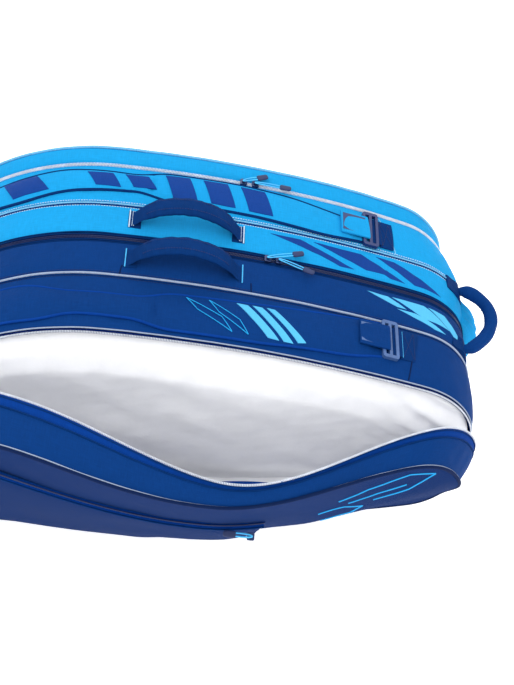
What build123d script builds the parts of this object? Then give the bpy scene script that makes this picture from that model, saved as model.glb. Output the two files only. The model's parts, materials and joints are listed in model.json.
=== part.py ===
from build123d import *
import os
from math import asin, atan2, cos, degrees, hypot, radians, sin, sqrt

os.makedirs("parts", exist_ok=True)

# Racket tournament bag, standing on its long base with the carry handles on top.
# +X runs along the bag, +Y to the rear compartment, +Z up. The origin is on the floor,
# at the middle of the length, inside the middle compartment. Millimetres.

# outline of the bag seen from the front: a shallow crown, a large round end for the
# racket heads at -X, a tighter end for the racket grips at +X, and rounded feet; the
# underside is flat from the head end to the middle and rises towards the grip end
LENGTH = 760
HEIGHT = 330
CROWN_X = -70
CROWN_R = 1580
HEAD_R = 276
GRIP_R = 107
HEAD_FOOT_R = 70
GRIP_FOOT_R = 50
GRIP_LEAN = radians(9.6)
BASE_SLOPE = radians(17)
BREAK_X = 40
BREAK_R = 200

# stations across the bag, from the front cover to the rear cover
FRONT_FACE = -213
FRONT_ZIP = -146
FRONT_SEAM = -52
MIDDLE_ZIP = 11
REAR_SEAM = 70
REAR_ZIP = 142
REAR_FACE = 176

# sewn sheet and padding thicknesses
GUSSET = 4
DIVIDER = 5
FACE = 3.5
FOAM = 5
LINING = 1.5
BOARD = 3
PIPING = 2

# zips: the slot between the two gussets, the tape under it, the coil on the tape
SLOT = 16
TAPE_SEAM = 6
TAPE = 1.2
COIL = 1.4
COIL_WIDTH = 2
ROW_GAP = 0.25

OPEN_ANGLE = 28
BODY_GAP = 1
BOARD_MARGIN = 12

TOP_CENTRE = Vector(CROWN_X, 0, HEIGHT - CROWN_R)
HALF = LENGTH / 2


def end_centre(side, radius):
    """Centre of an end arc that is tangent to the crown and reaches the end of the bag."""
    x = side * (HALF - radius)
    z = TOP_CENTRE.Z + sqrt((CROWN_R - radius) ** 2 - (x - CROWN_X) ** 2)
    return Vector(x, 0, z)


def bearing(angle):
    """Unit vector in the outline plane, measured from +X towards +Z."""
    return Vector(cos(angle), 0, sin(angle))


HEAD_CENTRE = end_centre(-1, HEAD_R)
GRIP_CENTRE = end_centre(1, GRIP_R)
foot_rise = HEAD_FOOT_R - HEAD_CENTRE.Z
foot_reach = sqrt((HEAD_R - HEAD_FOOT_R) ** 2 - foot_rise**2)
HEAD_FOOT = Vector(HEAD_CENTRE.X - foot_reach, 0, HEAD_FOOT_R)
BREAK = Vector(BREAK_X, 0, BREAK_R)
lean_out = Vector(cos(GRIP_LEAN), 0, -sin(GRIP_LEAN))
base_out = Vector(sin(BASE_SLOPE), 0, -cos(BASE_SLOPE))
lean_reach = GRIP_CENTRE.dot(lean_out) + GRIP_R - GRIP_FOOT_R
base_reach = BREAK.dot(base_out) + BREAK_R - GRIP_FOOT_R
spread = sin(GRIP_LEAN) * sin(BASE_SLOPE) - cos(GRIP_LEAN) * cos(BASE_SLOPE)
GRIP_FOOT = Vector(
    (base_reach * sin(GRIP_LEAN) - lean_reach * cos(BASE_SLOPE)) / spread,
    0,
    (base_reach * cos(GRIP_LEAN) - lean_reach * sin(BASE_SLOPE)) / spread,
)
HEAD_TANGENT = atan2(HEAD_CENTRE.Z - TOP_CENTRE.Z, HEAD_CENTRE.X - TOP_CENTRE.X)
GRIP_TANGENT = atan2(GRIP_CENTRE.Z - TOP_CENTRE.Z, GRIP_CENTRE.X - TOP_CENTRE.X)
FOOT_TANGENT = atan2(foot_rise, -foot_reach)
DOWN = radians(-90)


def arc(centre, radius, start, end):
    points = [centre + bearing(a) * radius for a in (start, (start + end) / 2, end)]
    return ThreePointArc(*points)


def outline(inset=0.0):
    """The bag's outline in the plane Y = 0, moved inwards by inset."""
    crown = arc(TOP_CENTRE, CROWN_R - inset, HEAD_TANGENT, GRIP_TANGENT)
    grip_end = arc(GRIP_CENTRE, GRIP_R - inset, GRIP_TANGENT, -GRIP_LEAN)
    grip_foot = arc(GRIP_FOOT, GRIP_FOOT_R - inset, -GRIP_LEAN, DOWN + BASE_SLOPE)
    base_break = arc(BREAK, BREAK_R - inset, DOWN + BASE_SLOPE, DOWN)
    head_foot = arc(HEAD_FOOT, HEAD_FOOT_R - inset, radians(270), FOOT_TANGENT)
    head_end = arc(HEAD_CENTRE, HEAD_R - inset, FOOT_TANGENT, HEAD_TANGENT)
    edges = [
        crown,
        grip_end,
        Line(grip_end @ 1, grip_foot @ 0),
        grip_foot,
        Line(grip_foot @ 1, base_break @ 0),
        base_break,
        Line(base_break @ 1, head_foot @ 0),
        head_foot,
        head_end,
    ]
    return Face(Wire(edges))


def block(x, y, z):
    """A plain box from three (low, high) pairs."""
    size = [high - low for low, high in (x, y, z)]
    middle = [(high + low) / 2 for low, high in (x, y, z)]
    return Pos(*middle) * Box(*size)


def plate(y0, y1, inset=0.0):
    """A full panel of the bag's outline between two stations."""
    return extrude(Pos(0, y0, 0) * outline(inset), amount=y1 - y0, dir=(0, 1, 0))


def ring(y0, y1, outer, inner):
    return plate(y0, y1, outer) - plate(y0 - 1, y1 + 1, inner)


def split_tools(gap):
    """Boxes below the line where the arch of a gusset meets the base."""
    low = (-10, HEAD_FOOT_R + gap)
    left = block((-HALF - 20, 0), (-400, 400), low)
    right = block((0, HALF + 20), (-400, 400), (-10, GRIP_FOOT.Z + gap))
    return left + right


def arch(y0, y1, outer=0.0, inner=GUSSET):
    """A strip over the crown and down both ends, stopping above the base."""
    return ring(y0, y1, outer, inner) - split_tools(BODY_GAP)


def trough(y0, y1):
    """The base between two stations, turned up at both feet."""
    return ring(y0, y1, 0, GUSSET) & split_tools(0)


def zip_row(station, side):
    """One half of a zip: a tape sewn under its gusset, and its row of coil."""
    near = station + side * ROW_GAP
    far = station + side * (SLOT / 2 + TAPE_SEAM)
    coil_far = near + side * COIL_WIDTH
    tape = arch(min(near, far), max(near, far), GUSSET, GUSSET + TAPE)
    coil = arch(min(near, coil_far), max(near, coil_far), GUSSET - COIL, GUSSET)
    return tape + coil


def piping(station):
    return arch(station - PIPING, station + PIPING, -PIPING, 0)


def above(height, shape):
    """The part of a panel above a height, so that it clears the base."""
    return shape - block((-HALF, HALF), (-400, 400), (-10, height))


def on_crown(x, y, lift=0.0):
    """A place on the crown: local Z points out of the bag and local X along it."""
    angle = asin((x - CROWN_X) / CROWN_R)
    reach = CROWN_R + lift
    place = Vector(CROWN_X + reach * sin(angle), y, TOP_CENTRE.Z + reach * cos(angle))
    return Location(place, (0, degrees(angle), 0))


def over_crown(x, y, outer, inner):
    """A strip that follows the crown between two x and two y stations."""
    return ring(y[0], y[1], -outer, -inner) & block(x, y, (HEIGHT / 2, HEIGHT + 40))


nodes = {}

# main body: base, front divider, the two gussets beside it, and its zip rows
BASE_FRONT = FRONT_FACE + FACE + 0.5
BASE_REAR = REAR_SEAM - DIVIDER / 2 - BODY_GAP
half_slot = SLOT / 2
half_divider = DIVIDER / 2
nodes["base_panel"] = trough(BASE_FRONT, BASE_REAR)
front_divider = plate(FRONT_SEAM - half_divider, FRONT_SEAM + half_divider)
nodes["front_divider"] = front_divider - nodes["base_panel"]
nodes["front_gusset"] = arch(FRONT_ZIP + half_slot, FRONT_SEAM - half_divider)
nodes["middle_front_gusset"] = arch(FRONT_SEAM + half_divider, MIDDLE_ZIP - half_slot)
nodes["front_zip_body_row"] = zip_row(FRONT_ZIP, 1)
nodes["middle_zip_front_row"] = zip_row(MIDDLE_ZIP, -1)
nodes["front_seam_piping"] = piping(FRONT_SEAM)


def base_board(y0, y1):
    x = (HEAD_FOOT.X, BREAK_X)
    board = block(x, (y0 + BODY_GAP, y1 - BODY_GAP), (GUSSET, GUSSET + BOARD))
    return fillet(board.edges().filter_by(Axis.Z), 12)


COVER_INSIDE = FRONT_FACE + FACE + FOAM + LINING
nodes["front_base_board"] = base_board(COVER_INSIDE, FRONT_SEAM - half_divider)
nodes["middle_base_board"] = base_board(FRONT_SEAM + half_divider, BASE_REAR)
nodes["middle_lining"] = above(
    BOARD_MARGIN,
    plate(FRONT_SEAM + half_divider, FRONT_SEAM + half_divider + LINING, GUSSET + TAPE),
)

# thermal lining: a wall that hangs from the front zip and a floor over the base board
LINING_TOP = Vector(0, FRONT_ZIP + 7, HEIGHT)
LINING_FOOT = Vector(0, FRONT_ZIP + 27, GUSSET + BOARD + LINING)
lining_drop = LINING_TOP - LINING_FOOT
lining_lean = degrees(atan2(lining_drop.Y, lining_drop.Z))
lining_middle = (LINING_TOP + LINING_FOOT) / 2
inside = plate(FRONT_FACE, FRONT_SEAM, GUSSET + TAPE)
wall = Location(lining_middle, (-lining_lean, 0, 0)) * Box(LENGTH, LINING, lining_drop.length)
nodes["thermal_lining_wall"] = above(GUSSET + BOARD + LINING, wall & inside)
nodes["thermal_lining_floor"] = (
    block((-HALF, HALF), (COVER_INSIDE + 1, LINING_FOOT.Y), (GUSSET + BOARD, GUSSET + BOARD + LINING))
    & inside
)

# rear block: rear divider, its gussets, base, and its zip rows
nodes["rear_divider"] = plate(REAR_SEAM - half_divider, REAR_SEAM + half_divider)
nodes["middle_rear_gusset"] = arch(MIDDLE_ZIP + half_slot, REAR_SEAM - half_divider)
nodes["rear_gusset"] = arch(REAR_SEAM + half_divider, REAR_ZIP - half_slot)
nodes["rear_base_panel"] = trough(REAR_SEAM + half_divider, REAR_FACE - FACE - 0.5)
nodes["middle_zip_rear_row"] = zip_row(MIDDLE_ZIP, 1)
nodes["rear_zip_body_row"] = zip_row(REAR_ZIP, -1)
nodes["rear_seam_piping"] = piping(REAR_SEAM)
REAR_INSIDE = REAR_FACE - FACE - FOAM - LINING
nodes["rear_base_board"] = base_board(REAR_SEAM + half_divider, REAR_INSIDE)
nodes["rear_lining"] = above(
    BOARD_MARGIN,
    plate(REAR_SEAM + half_divider, REAR_SEAM + half_divider + LINING, GUSSET + TAPE),
)


def cover(name, face, zip_station, side):
    """A padded cover: face, foam, lining, gusset, zip row and piping; side points outwards."""
    stack = [("face", FACE, 0), ("foam", FOAM, GUSSET + 2), ("lining", LINING, GUSSET + TAPE)]
    solids = {}
    outer = face
    for layer, thickness, inset in stack:
        inner = outer - side * thickness
        shape = plate(min(outer, inner), max(outer, inner), inset)
        solids[layer] = shape if layer == "face" else above(BOARD_MARGIN, shape)
        outer = inner
    edge = zip_station + side * half_slot
    seam = face - side * FACE
    solids["gusset"] = arch(min(edge, seam), max(edge, seam))
    solids["zip_row"] = zip_row(zip_station, side)
    solids["piping"] = piping(face - side * PIPING)
    return {f"{name}_{part}": shape for part, shape in solids.items()}


nodes.update(cover("rear_cover", REAR_FACE, REAR_ZIP, 1))
front_cover = cover("front_cover", FRONT_FACE, FRONT_ZIP, -1)

# pocket on the front cover: a shallow tray closed at its top by a straight zip
POCKET_X = (-290, 110)
POCKET_Z = (38, 232)
POCKET_DEPTH = 12
POCKET_WALL = 2
POCKET_CORNER = 30
pocket_y = (FRONT_FACE - POCKET_DEPTH, FRONT_FACE)
tray = block(POCKET_X, pocket_y, POCKET_Z)
tray = fillet(tray.edges().filter_by(Axis.Y).group_by(Axis.Z)[0], POCKET_CORNER)
inner_x = (POCKET_X[0] + POCKET_WALL, POCKET_X[1] - POCKET_WALL)
inner_z = (POCKET_Z[0] + POCKET_WALL, POCKET_Z[1])
cavity = block(inner_x, (pocket_y[0] + POCKET_WALL, FRONT_FACE), inner_z)
cavity = fillet(cavity.edges().filter_by(Axis.Y).group_by(Axis.Z)[0], POCKET_CORNER - POCKET_WALL)
front_cover["front_pocket_panel"] = tray - cavity
zip_z = (POCKET_Z[1], POCKET_Z[1] + POCKET_WALL)
pocket_tape = block(POCKET_X, pocket_y, zip_z)
coil_y = (FRONT_FACE - POCKET_DEPTH / 2 - COIL_WIDTH, FRONT_FACE - POCKET_DEPTH / 2 + COIL_WIDTH)
front_cover["front_pocket_zip"] = pocket_tape + block(POCKET_X, coil_y, (zip_z[1], zip_z[1] + COIL))

# zip sliders: an upper wing over both rows, a stem over the fixed row, and a pull
SLIDER = (9, 10)
SLIDER_LIFT = (0.3, 2.6)
STEM_DEPTH = 2.2
PULL_LIFT = 4.9
PULL_RISE = 6
CORD_R = 1.25
TAG = (16, 9, 3)


def slider(side):
    """A slider in its local frame; side is where the row that it stays with lies."""
    wing = block((-SLIDER[0] / 2, SLIDER[0] / 2), (-SLIDER[1] / 2, SLIDER[1] / 2), SLIDER_LIFT)
    wing = fillet(wing.edges().filter_by(Axis.Z), 2)
    stem_y = sorted((side * 0.4, side * SLIDER[1] / 2))
    stem = block((-SLIDER[0] / 2 + 1, SLIDER[0] / 2 - 1), stem_y, (-STEM_DEPTH, SLIDER_LIFT[0]))
    lug = block((-2, 2), (-1.2, 1.2), (SLIDER_LIFT[1], SLIDER_LIFT[1] + 0.8))
    return wing + stem + lug


SHORT_CORD = 20
LONG_CORD = 34


def pull(turn=0, length=SHORT_CORD):
    """A cord and tag in the slider's frame, turned in plan about the slider."""
    cord = Pos(length / 2, 0, 0) * Rot(0, 90, 0) * Cylinder(CORD_R, length)
    tag = Pos(length + TAG[0] / 2 - 2, 0, 0) * Box(*TAG)
    tag = fillet(tag.edges().filter_by(Axis.Z), 3)
    return Pos(0, 0, PULL_LIFT) * Rot(0, 0, turn) * Rot(0, -PULL_RISE, 0) * (cord + tag)


ZIP_STATIONS = {"rear": REAR_ZIP, "middle": MIDDLE_ZIP}
SLIDERS = [
    ("rear", "left", 54, 20, SHORT_CORD),
    ("rear", "right", 70, -6, LONG_CORD),
    ("middle", "left", 89, 16, LONG_CORD),
    ("middle", "right", 104, -22, LONG_CORD),
]
for name, side, x, turn, length in SLIDERS:
    place = on_crown(x, ZIP_STATIONS[name])
    nodes[f"{name}_zip_slider_{side}"] = place * slider(-1)
    nodes[f"{name}_zip_pull_{side}"] = place * pull(turn, length)

# the front zip is run down the leaning grip end
FRONT_SLIDER_Z = 140
grip_side = GRIP_CENTRE + lean_out * GRIP_R
drop = (grip_side.Z - FRONT_SLIDER_Z) / cos(GRIP_LEAN)
slider_point = grip_side - Vector(sin(GRIP_LEAN), 0, cos(GRIP_LEAN)) * drop
front_place = Location(
    Vector(slider_point.X, FRONT_ZIP, slider_point.Z),
    (0, 90 + degrees(GRIP_LEAN), 0),
)
nodes["front_zip_slider"] = front_place * slider(1)
nodes["front_zip_pull"] = front_place * pull()

POCKET_SLIDER_X = 92
pocket_place = Pos(POCKET_SLIDER_X, FRONT_FACE - POCKET_DEPTH / 2, zip_z[1] + COIL + 0.3)
pocket_wing = slider(1) & block((-9, 9), (-9, 9), (SLIDER_LIFT[0], 9))
front_cover["pocket_zip_slider"] = pocket_place * pocket_wing
front_cover["pocket_zip_pull"] = pocket_place * Rot(0, 0, 180) * pull()

# shoulder straps: a pad along the crown, webbing to a sewn patch, and a ladder-lock buckle
STRAP_LIFT = (0.5, 8.5)
WEB_LIFT = (0.5, 2.3)
WEB_WIDTH = 44
BUCKLE = (22, 60, 5)
BUCKLE_LIFT = 3
BUCKLE_TRAVEL = 25
PATCH_LENGTH = 22
PATCH_LIFT = 3.5
STRAP_END = BUCKLE[0] / 2 + BUCKLE_TRAVEL + 2
STRAP_START = -300
BUCKLE_WINDOW = (5, 50)
TAB = (30, 30, 1.5)


def shoulder_strap(name, y, buckle_x, middle):
    """Strap pad between two y, and its webbing, low patch and buckle about the line y = middle."""
    web_y = (middle - WEB_WIDTH / 2, middle + WEB_WIDTH / 2)
    patch_x = buckle_x + BUCKLE[0] / 2 + 2
    start = buckle_x - STRAP_END
    nodes[f"{name}_strap"] = over_crown((STRAP_START, start), y, STRAP_LIFT[1], STRAP_LIFT[0])
    webbing = over_crown((start + 0.5, patch_x + 1), web_y, WEB_LIFT[1], WEB_LIFT[0])
    patch_y = (web_y[0] - 2, web_y[1] + 2)
    patch = over_crown((patch_x, patch_x + PATCH_LENGTH), patch_y, PATCH_LIFT, 0)
    nodes[f"{name}_strap_webbing"] = webbing + patch
    frame = Box(*BUCKLE, align=(Align.CENTER, Align.CENTER, Align.MIN))
    frame = fillet(frame.edges().filter_by(Axis.Z), 4)
    window = Box(BUCKLE_WINDOW[0], BUCKLE_WINDOW[1], 3 * BUCKLE[2])
    frame = frame - Pos(-4.5, 0, 0) * window - Pos(4.5, 0, 0) * window
    tab_lift = STRAP_LIFT[1] + 0.6 - BUCKLE_LIFT
    tab_x = -BUCKLE[0] / 2
    tab = block((tab_x - TAB[0], tab_x + 2), (-TAB[1] / 2, TAB[1] / 2), (tab_lift, tab_lift + TAB[2]))
    leg = block((tab_x, tab_x + 2), (-TAB[1] / 2, TAB[1] / 2), (1, tab_lift + TAB[2]))
    nodes[f"{name}_strap_buckle"] = on_crown(buckle_x, middle, BUCKLE_LIFT) * (frame + tab + leg)


shoulder_strap("rear", (78, 128), 228, 101)
shoulder_strap("front", (-128, -66), 248, -84)

# carry handles on the crown: a padded bow on two narrow tongues, over sewn anchors
HANDLE_X = -17
HANDLE_SPAN = 129
HANDLE_RISE = 28
HANDLE_WIDTH = 25
HANDLE_PAD = 11
HANDLE_PIVOT = 8
PAD_START = 17
TONGUE = 4
ANCHOR = (18, 26)
bow_r = ((HANDLE_SPAN / 2) ** 2 + HANDLE_RISE**2) / (2 * HANDLE_RISE)


def bow(width, low, high):
    """A curved band of the handle between two heights above its pivot line."""
    centre = Pos(0, 0, HANDLE_RISE - bow_r) * Rot(90, 0, 0)
    band = centre * Cylinder(bow_r + HANDLE_PAD / 2, width) - centre * Cylinder(
        bow_r - HANDLE_PAD / 2, width + 2
    )
    return band & block((-HANDLE_SPAN, HANDLE_SPAN), (-width, width), (low, high))


def grab_handle(name, y):
    place = on_crown(HANDLE_X, y, HANDLE_PIVOT)
    pad = bow(HANDLE_WIDTH, PAD_START, HANDLE_SPAN)
    nodes[f"{name}_grab_handle"] = place * (pad + bow(TONGUE, -1.5, PAD_START + 1))
    anchors = []
    for side in (-1, 1):
        x = HANDLE_X + side * HANDLE_SPAN / 2
        pad_x = (x - ANCHOR[0] / 2, x + ANCHOR[0] / 2)
        pad_y = (y - ANCHOR[1] / 2, y + ANCHOR[1] / 2)
        anchors.append(over_crown(pad_x, pad_y, 3, 0))
    nodes[f"{name}_handle_anchors"] = anchors[0] + anchors[1]


FRONT_HANDLE_Y = -24
REAR_HANDLE_Y = 44
grab_handle("front", FRONT_HANDLE_Y)
grab_handle("rear", REAR_HANDLE_Y)

# end handle: a round padded bow across the middle compartment, on two sewn tabs
END_ANGLE = radians(35)
END_LIFT = 8
END_Y = 14
END_HALF_SPAN = 50
END_RISE = 38
END_TUBE_R = 9
END_START = 8
END_TAB = (20, 3)
END_TAB_START = 5
END_PATCH = (-5, 32)
pivot = GRIP_CENTRE + bearing(END_ANGLE) * (GRIP_R + END_LIFT) + Vector(0, END_Y, 0)
end_r = (END_HALF_SPAN**2 + END_RISE**2) / (2 * END_RISE)
end_bow = Pos(*pivot) * Pos(END_RISE - end_r, 0, 0) * Torus(end_r, END_TUBE_R)
bow_x = (pivot.X + END_START, pivot.X + END_RISE + 2 * END_TUBE_R)
end_bow = end_bow & block(bow_x, (-100, 100), (pivot.Z - 20, pivot.Z + 20))
for name, side in (("front", -1), ("rear", 1)):
    y = pivot.Y + side * END_HALF_SPAN
    tab_y = (y - END_TAB[0] / 2, y + END_TAB[0] / 2)
    tab_z = (pivot.Z - END_TAB[1] / 2, pivot.Z + END_TAB[1] / 2)
    end_bow = end_bow + block((pivot.X + END_TAB_START, bow_x[0] + 4), tab_y, tab_z)
    patch_z = (pivot.Z - END_PATCH[1] / 2, pivot.Z + END_PATCH[1] / 2)
    patch = ring(*tab_y, END_PATCH[0], -PIPING) & block((HALF / 2, HALF + 20), tab_y, patch_z)
    nodes[f"end_handle_{name}_tab"] = patch
nodes["end_handle"] = end_bow

# the front cover stands open, turned about the bottom edge of its face
FRONT_HINGE = Axis((0, FRONT_FACE, 0), (1, 0, 0))
for name, shape in front_cover.items():
    nodes[name] = shape.rotate(FRONT_HINGE, OPEN_ANGLE)

for name, shape in nodes.items():
    export_step(shape, f"parts/{name}.step")
print(len(nodes), "nodes")
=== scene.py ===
"""Looks of the racket tournament bag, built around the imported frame.

Metres. +X runs along the bag, +Y towards the rear compartment, +Z up to the handles.
"""

import json
from math import asin, atan2, ceil, cos, pi, radians, sin, sqrt

import bpy
import numpy as np
from mathutils import Matrix, Vector


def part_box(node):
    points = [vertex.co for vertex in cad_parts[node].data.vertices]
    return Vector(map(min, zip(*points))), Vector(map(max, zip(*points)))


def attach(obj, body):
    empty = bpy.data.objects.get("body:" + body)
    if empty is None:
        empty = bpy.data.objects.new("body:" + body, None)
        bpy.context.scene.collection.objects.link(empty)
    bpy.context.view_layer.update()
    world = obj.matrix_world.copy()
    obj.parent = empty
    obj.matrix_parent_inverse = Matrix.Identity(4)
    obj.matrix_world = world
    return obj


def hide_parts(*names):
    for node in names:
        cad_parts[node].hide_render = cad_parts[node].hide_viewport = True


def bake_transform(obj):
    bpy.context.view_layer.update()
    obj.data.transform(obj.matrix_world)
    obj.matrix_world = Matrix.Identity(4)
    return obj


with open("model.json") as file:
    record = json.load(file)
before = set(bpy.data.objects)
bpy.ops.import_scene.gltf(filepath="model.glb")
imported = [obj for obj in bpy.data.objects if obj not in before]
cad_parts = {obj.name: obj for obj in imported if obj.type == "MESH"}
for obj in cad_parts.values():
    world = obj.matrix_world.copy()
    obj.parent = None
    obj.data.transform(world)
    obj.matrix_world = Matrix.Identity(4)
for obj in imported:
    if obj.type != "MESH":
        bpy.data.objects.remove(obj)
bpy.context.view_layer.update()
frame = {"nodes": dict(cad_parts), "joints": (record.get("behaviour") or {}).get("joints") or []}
NODES = frame["nodes"]
MM = 0.001


# ---------------------------------------------------------------- places from the frame
def station(node):
    """The middle of a node across the bag."""
    low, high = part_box(node)
    return (low.y + high.y) / 2


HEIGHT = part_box("rear_divider")[1].z
HALF = 0.38
CROWN_X, CROWN_R = -0.07, 1.58
HEAD_R, GRIP_R = 0.276, 0.107
HEAD_FOOT_R, GRIP_FOOT_R = 0.07, 0.05
GRIP_LEAN, BASE_SLOPE = radians(9.6), radians(17)
BREAK_X, BREAK_R = 0.04, 0.2

FRONT_SEAM = station("front_divider")
REAR_SEAM = station("rear_divider")
FRONT_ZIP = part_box("front_zip_body_row")[0].y
MIDDLE_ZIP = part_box("middle_zip_rear_row")[0].y
REAR_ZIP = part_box("rear_zip_body_row")[1].y
REAR_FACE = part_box("rear_cover_face")[1].y
HINGE = frame["joints"][0]["pos_m"]
FRONT_FACE = HINGE[1]
SLOT = 8 * MM
GUSSET = 4 * MM
BASE_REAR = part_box("base_panel")[1].y
BASE_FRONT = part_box("base_panel")[0].y

TOP = np.array([CROWN_X, HEIGHT - CROWN_R])


def end_centre(side, radius):
    x = side * (HALF - radius)
    return np.array([x, TOP[1] + sqrt((CROWN_R - radius) ** 2 - (x - CROWN_X) ** 2)])


HEAD = end_centre(-1, HEAD_R)
GRIP = end_centre(1, GRIP_R)
foot_rise = HEAD_FOOT_R - HEAD[1]
foot_reach = sqrt((HEAD_R - HEAD_FOOT_R) ** 2 - foot_rise**2)
HEAD_FOOT = np.array([HEAD[0] - foot_reach, HEAD_FOOT_R])
FOOT_ANGLE = atan2(foot_rise, -foot_reach)
BREAK = np.array([BREAK_X, BREAK_R])
LEAN_OUT = np.array([cos(GRIP_LEAN), -sin(GRIP_LEAN)])
BASE_OUT = np.array([sin(BASE_SLOPE), -cos(BASE_SLOPE)])
GRIP_FOOT = np.linalg.solve(
    np.array([LEAN_OUT, BASE_OUT]),
    [GRIP @ LEAN_OUT + GRIP_R - GRIP_FOOT_R, BREAK @ BASE_OUT + BREAK_R - GRIP_FOOT_R]
)
HEAD_ANGLE = atan2(*(HEAD - TOP)[::-1])
GRIP_ANGLE = atan2(*(GRIP - TOP)[::-1])


def smooth(t):
    t = np.clip(t, 0, 1)
    return t * t * (3 - 2 * t)


def settle(points):
    """Soft sagging of the closed shape: the grip end draws in at both faces, the front foot tucks under."""
    x, y, z = points[..., 0], points[..., 1], points[..., 2]
    rear = 24 * MM * smooth((y - REAR_SEAM) / (REAR_FACE - REAR_SEAM))
    front = 24 * MM * smooth((FRONT_ZIP - y) / (FRONT_ZIP - FRONT_FACE))
    above_base = z - np.clip(x - 0.07, 0, 1) * np.tan(BASE_SLOPE)
    foot = 44 * MM * (1 - smooth(above_base / 0.15)) * smooth((x + 0.04) / 0.16)
    reach = np.clip((FRONT_ZIP + 0.04 - y) / 0.107, 0, 1)
    return np.stack([x - (rear + front) * smooth((x - 0.14) / 0.24), y + foot * reach, z], -1)


class Track:
    """A run of the bag's outline: points and outward normals against length along it."""

    def __init__(self, arcs, step=0.006):
        points, normals = [], []
        for centre, radius, start, end in arcs:
            count = max(2, ceil(abs(end - start) * radius / step) + 1)
            for angle in np.linspace(start, end, count):
                normal = np.array([cos(angle), sin(angle)])
                point = centre + normal * radius
                if points and np.linalg.norm(point - points[-1]) > 1.5 * step:
                    runs = ceil(np.linalg.norm(point - points[-1]) / step)
                    last = points[-1]
                    for k in range(1, runs):
                        points.append(last + (point - last) * k / runs)
                        normals.append(normal)
                if not points or np.linalg.norm(point - points[-1]) > 1e-6:
                    points.append(point)
                    normals.append(normal)
        self.p, self.n = np.array(points), np.array(normals)
        self.s = np.r_[0, np.cumsum(np.linalg.norm(np.diff(self.p, axis=0), axis=1))]
        self.length = self.s[-1]
        self.low, self.rise = int(self.p[:, 0].argmin()), int(self.p[:, 0].argmax()) + 1

    def at(self, s):
        p = np.stack([np.interp(s, self.s, self.p[:, k]) for k in (0, 1)], -1)
        n = np.stack([np.interp(s, self.s, self.n[:, k]) for k in (0, 1)], -1)
        return p, n / np.linalg.norm(n, axis=-1, keepdims=True)

    def of_x(self, x):
        """Length along the track of a place on the crown."""
        return np.interp(x, self.p[self.low : self.rise, 0], self.s[self.low : self.rise])

    def place(self, s, y, lift):
        s, y, lift = np.broadcast_arrays(s, y, lift)
        p, n = self.at(s)
        return settle(np.stack([p[..., 0] + n[..., 0] * lift, y, p[..., 1] + n[..., 1] * lift], -1))


DOWN = radians(-90)
SEAM_ANGLE = radians(179)
SPLIT_X = 0.112
HALFWAY = DOWN + BASE_SLOPE
SEAM_LIFT = np.array([sin(GRIP_LEAN), cos(GRIP_LEAN)])
BASE_POINT = (
    BREAK
    + BASE_OUT * BREAK_R
    + (SPLIT_X - BREAK_X - BREAK_R * sin(BASE_SLOPE)) * np.array([1, np.tan(BASE_SLOPE)])
)
BASE_ARC = (BASE_POINT - BASE_OUT * BREAK_R, BREAK_R, HALFWAY, HALFWAY)
HEAD_ARCS = [(HEAD_FOOT, HEAD_FOOT_R, 2 * pi + DOWN, FOOT_ANGLE), (HEAD, HEAD_R, FOOT_ANGLE, HEAD_ANGLE)]
TOP_ARCS = [(TOP, CROWN_R, HEAD_ANGLE, GRIP_ANGLE), (GRIP, GRIP_R, GRIP_ANGLE, -GRIP_LEAN)]
FOOT_ARC = (GRIP_FOOT, GRIP_FOOT_R, -GRIP_LEAN, HALFWAY)
BREAK_ARC = (BREAK, BREAK_R, HALFWAY, DOWN)
LOOP = Track([BASE_ARC, BREAK_ARC, *HEAD_ARCS, *TOP_ARCS, FOOT_ARC, BASE_ARC])
ARCH = Track(
    [
        (HEAD_FOOT, HEAD_FOOT_R, SEAM_ANGLE, FOOT_ANGLE),
        (HEAD, HEAD_R, FOOT_ANGLE, HEAD_ANGLE),
        *TOP_ARCS,
        (GRIP_FOOT + SEAM_LIFT * 10 * MM, GRIP_FOOT_R, -GRIP_LEAN, -GRIP_LEAN),
    ]
)
TROUGH = Track(
    [
        (GRIP_FOOT + SEAM_LIFT * 8 * MM, GRIP_FOOT_R, -GRIP_LEAN, -GRIP_LEAN),
        FOOT_ARC,
        BREAK_ARC,
        (HEAD_FOOT, HEAD_FOOT_R, DOWN, SEAM_ANGLE - 2 * pi),
    ]
)
CREST = int(ARCH.p[:, 1].argmax())


def end_s(z):
    """Length along the arch of a height on the grip end."""
    return np.interp(-z, -ARCH.p[CREST:, 1], ARCH.s[CREST:])


def ends(inset=0.0):
    """The x of both ends of the outline, moved inwards."""
    x = LOOP.p[:, 0] - LOOP.n[:, 0] * inset
    return x.min(), x.max()


def outline_z(x, inset=0.0):
    """Lowest and highest point of the outline at x, moved inwards."""
    loop = LOOP.p - LOOP.n * inset
    left, right = int(loop[:, 0].argmin()), int(loop[:, 0].argmax())
    upper = loop[left : right + 1]
    lower = np.vstack([loop[right:], loop[: left + 1]])
    lower = lower[np.argsort(lower[:, 0], kind="stable")]
    return np.interp(x, lower[:, 0], lower[:, 1]), np.interp(x, upper[:, 0], upper[:, 1])


def edge_gap(x, z):
    """Distance in the outline plane from a place to the outline."""
    flat = np.stack([np.ravel(x), np.ravel(z)], -1)
    gap = np.full(len(flat), 9.0)
    for point in LOOP.p:
        gap = np.minimum(gap, np.hypot(*(flat - point).T))
    return gap.reshape(np.shape(x))


# ---------------------------------------------------------------- mesh helpers
def ripple(a, b, seed, scale=0.06, waves=7):
    """Smooth seeded unevenness between about -1 and 1, for slack fabric."""
    rng = np.random.default_rng(seed)
    total = np.zeros(np.broadcast(a, b).shape)
    for k in range(waves):
        angle, phase = rng.uniform(0, pi), rng.uniform(0, 2 * pi)
        wave = 2 * pi / (scale * rng.uniform(0.5, 1.6))
        total = total + np.sin((a * cos(angle) + b * sin(angle)) * wave + phase)
    return total / sqrt(waves) * 0.7


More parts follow.
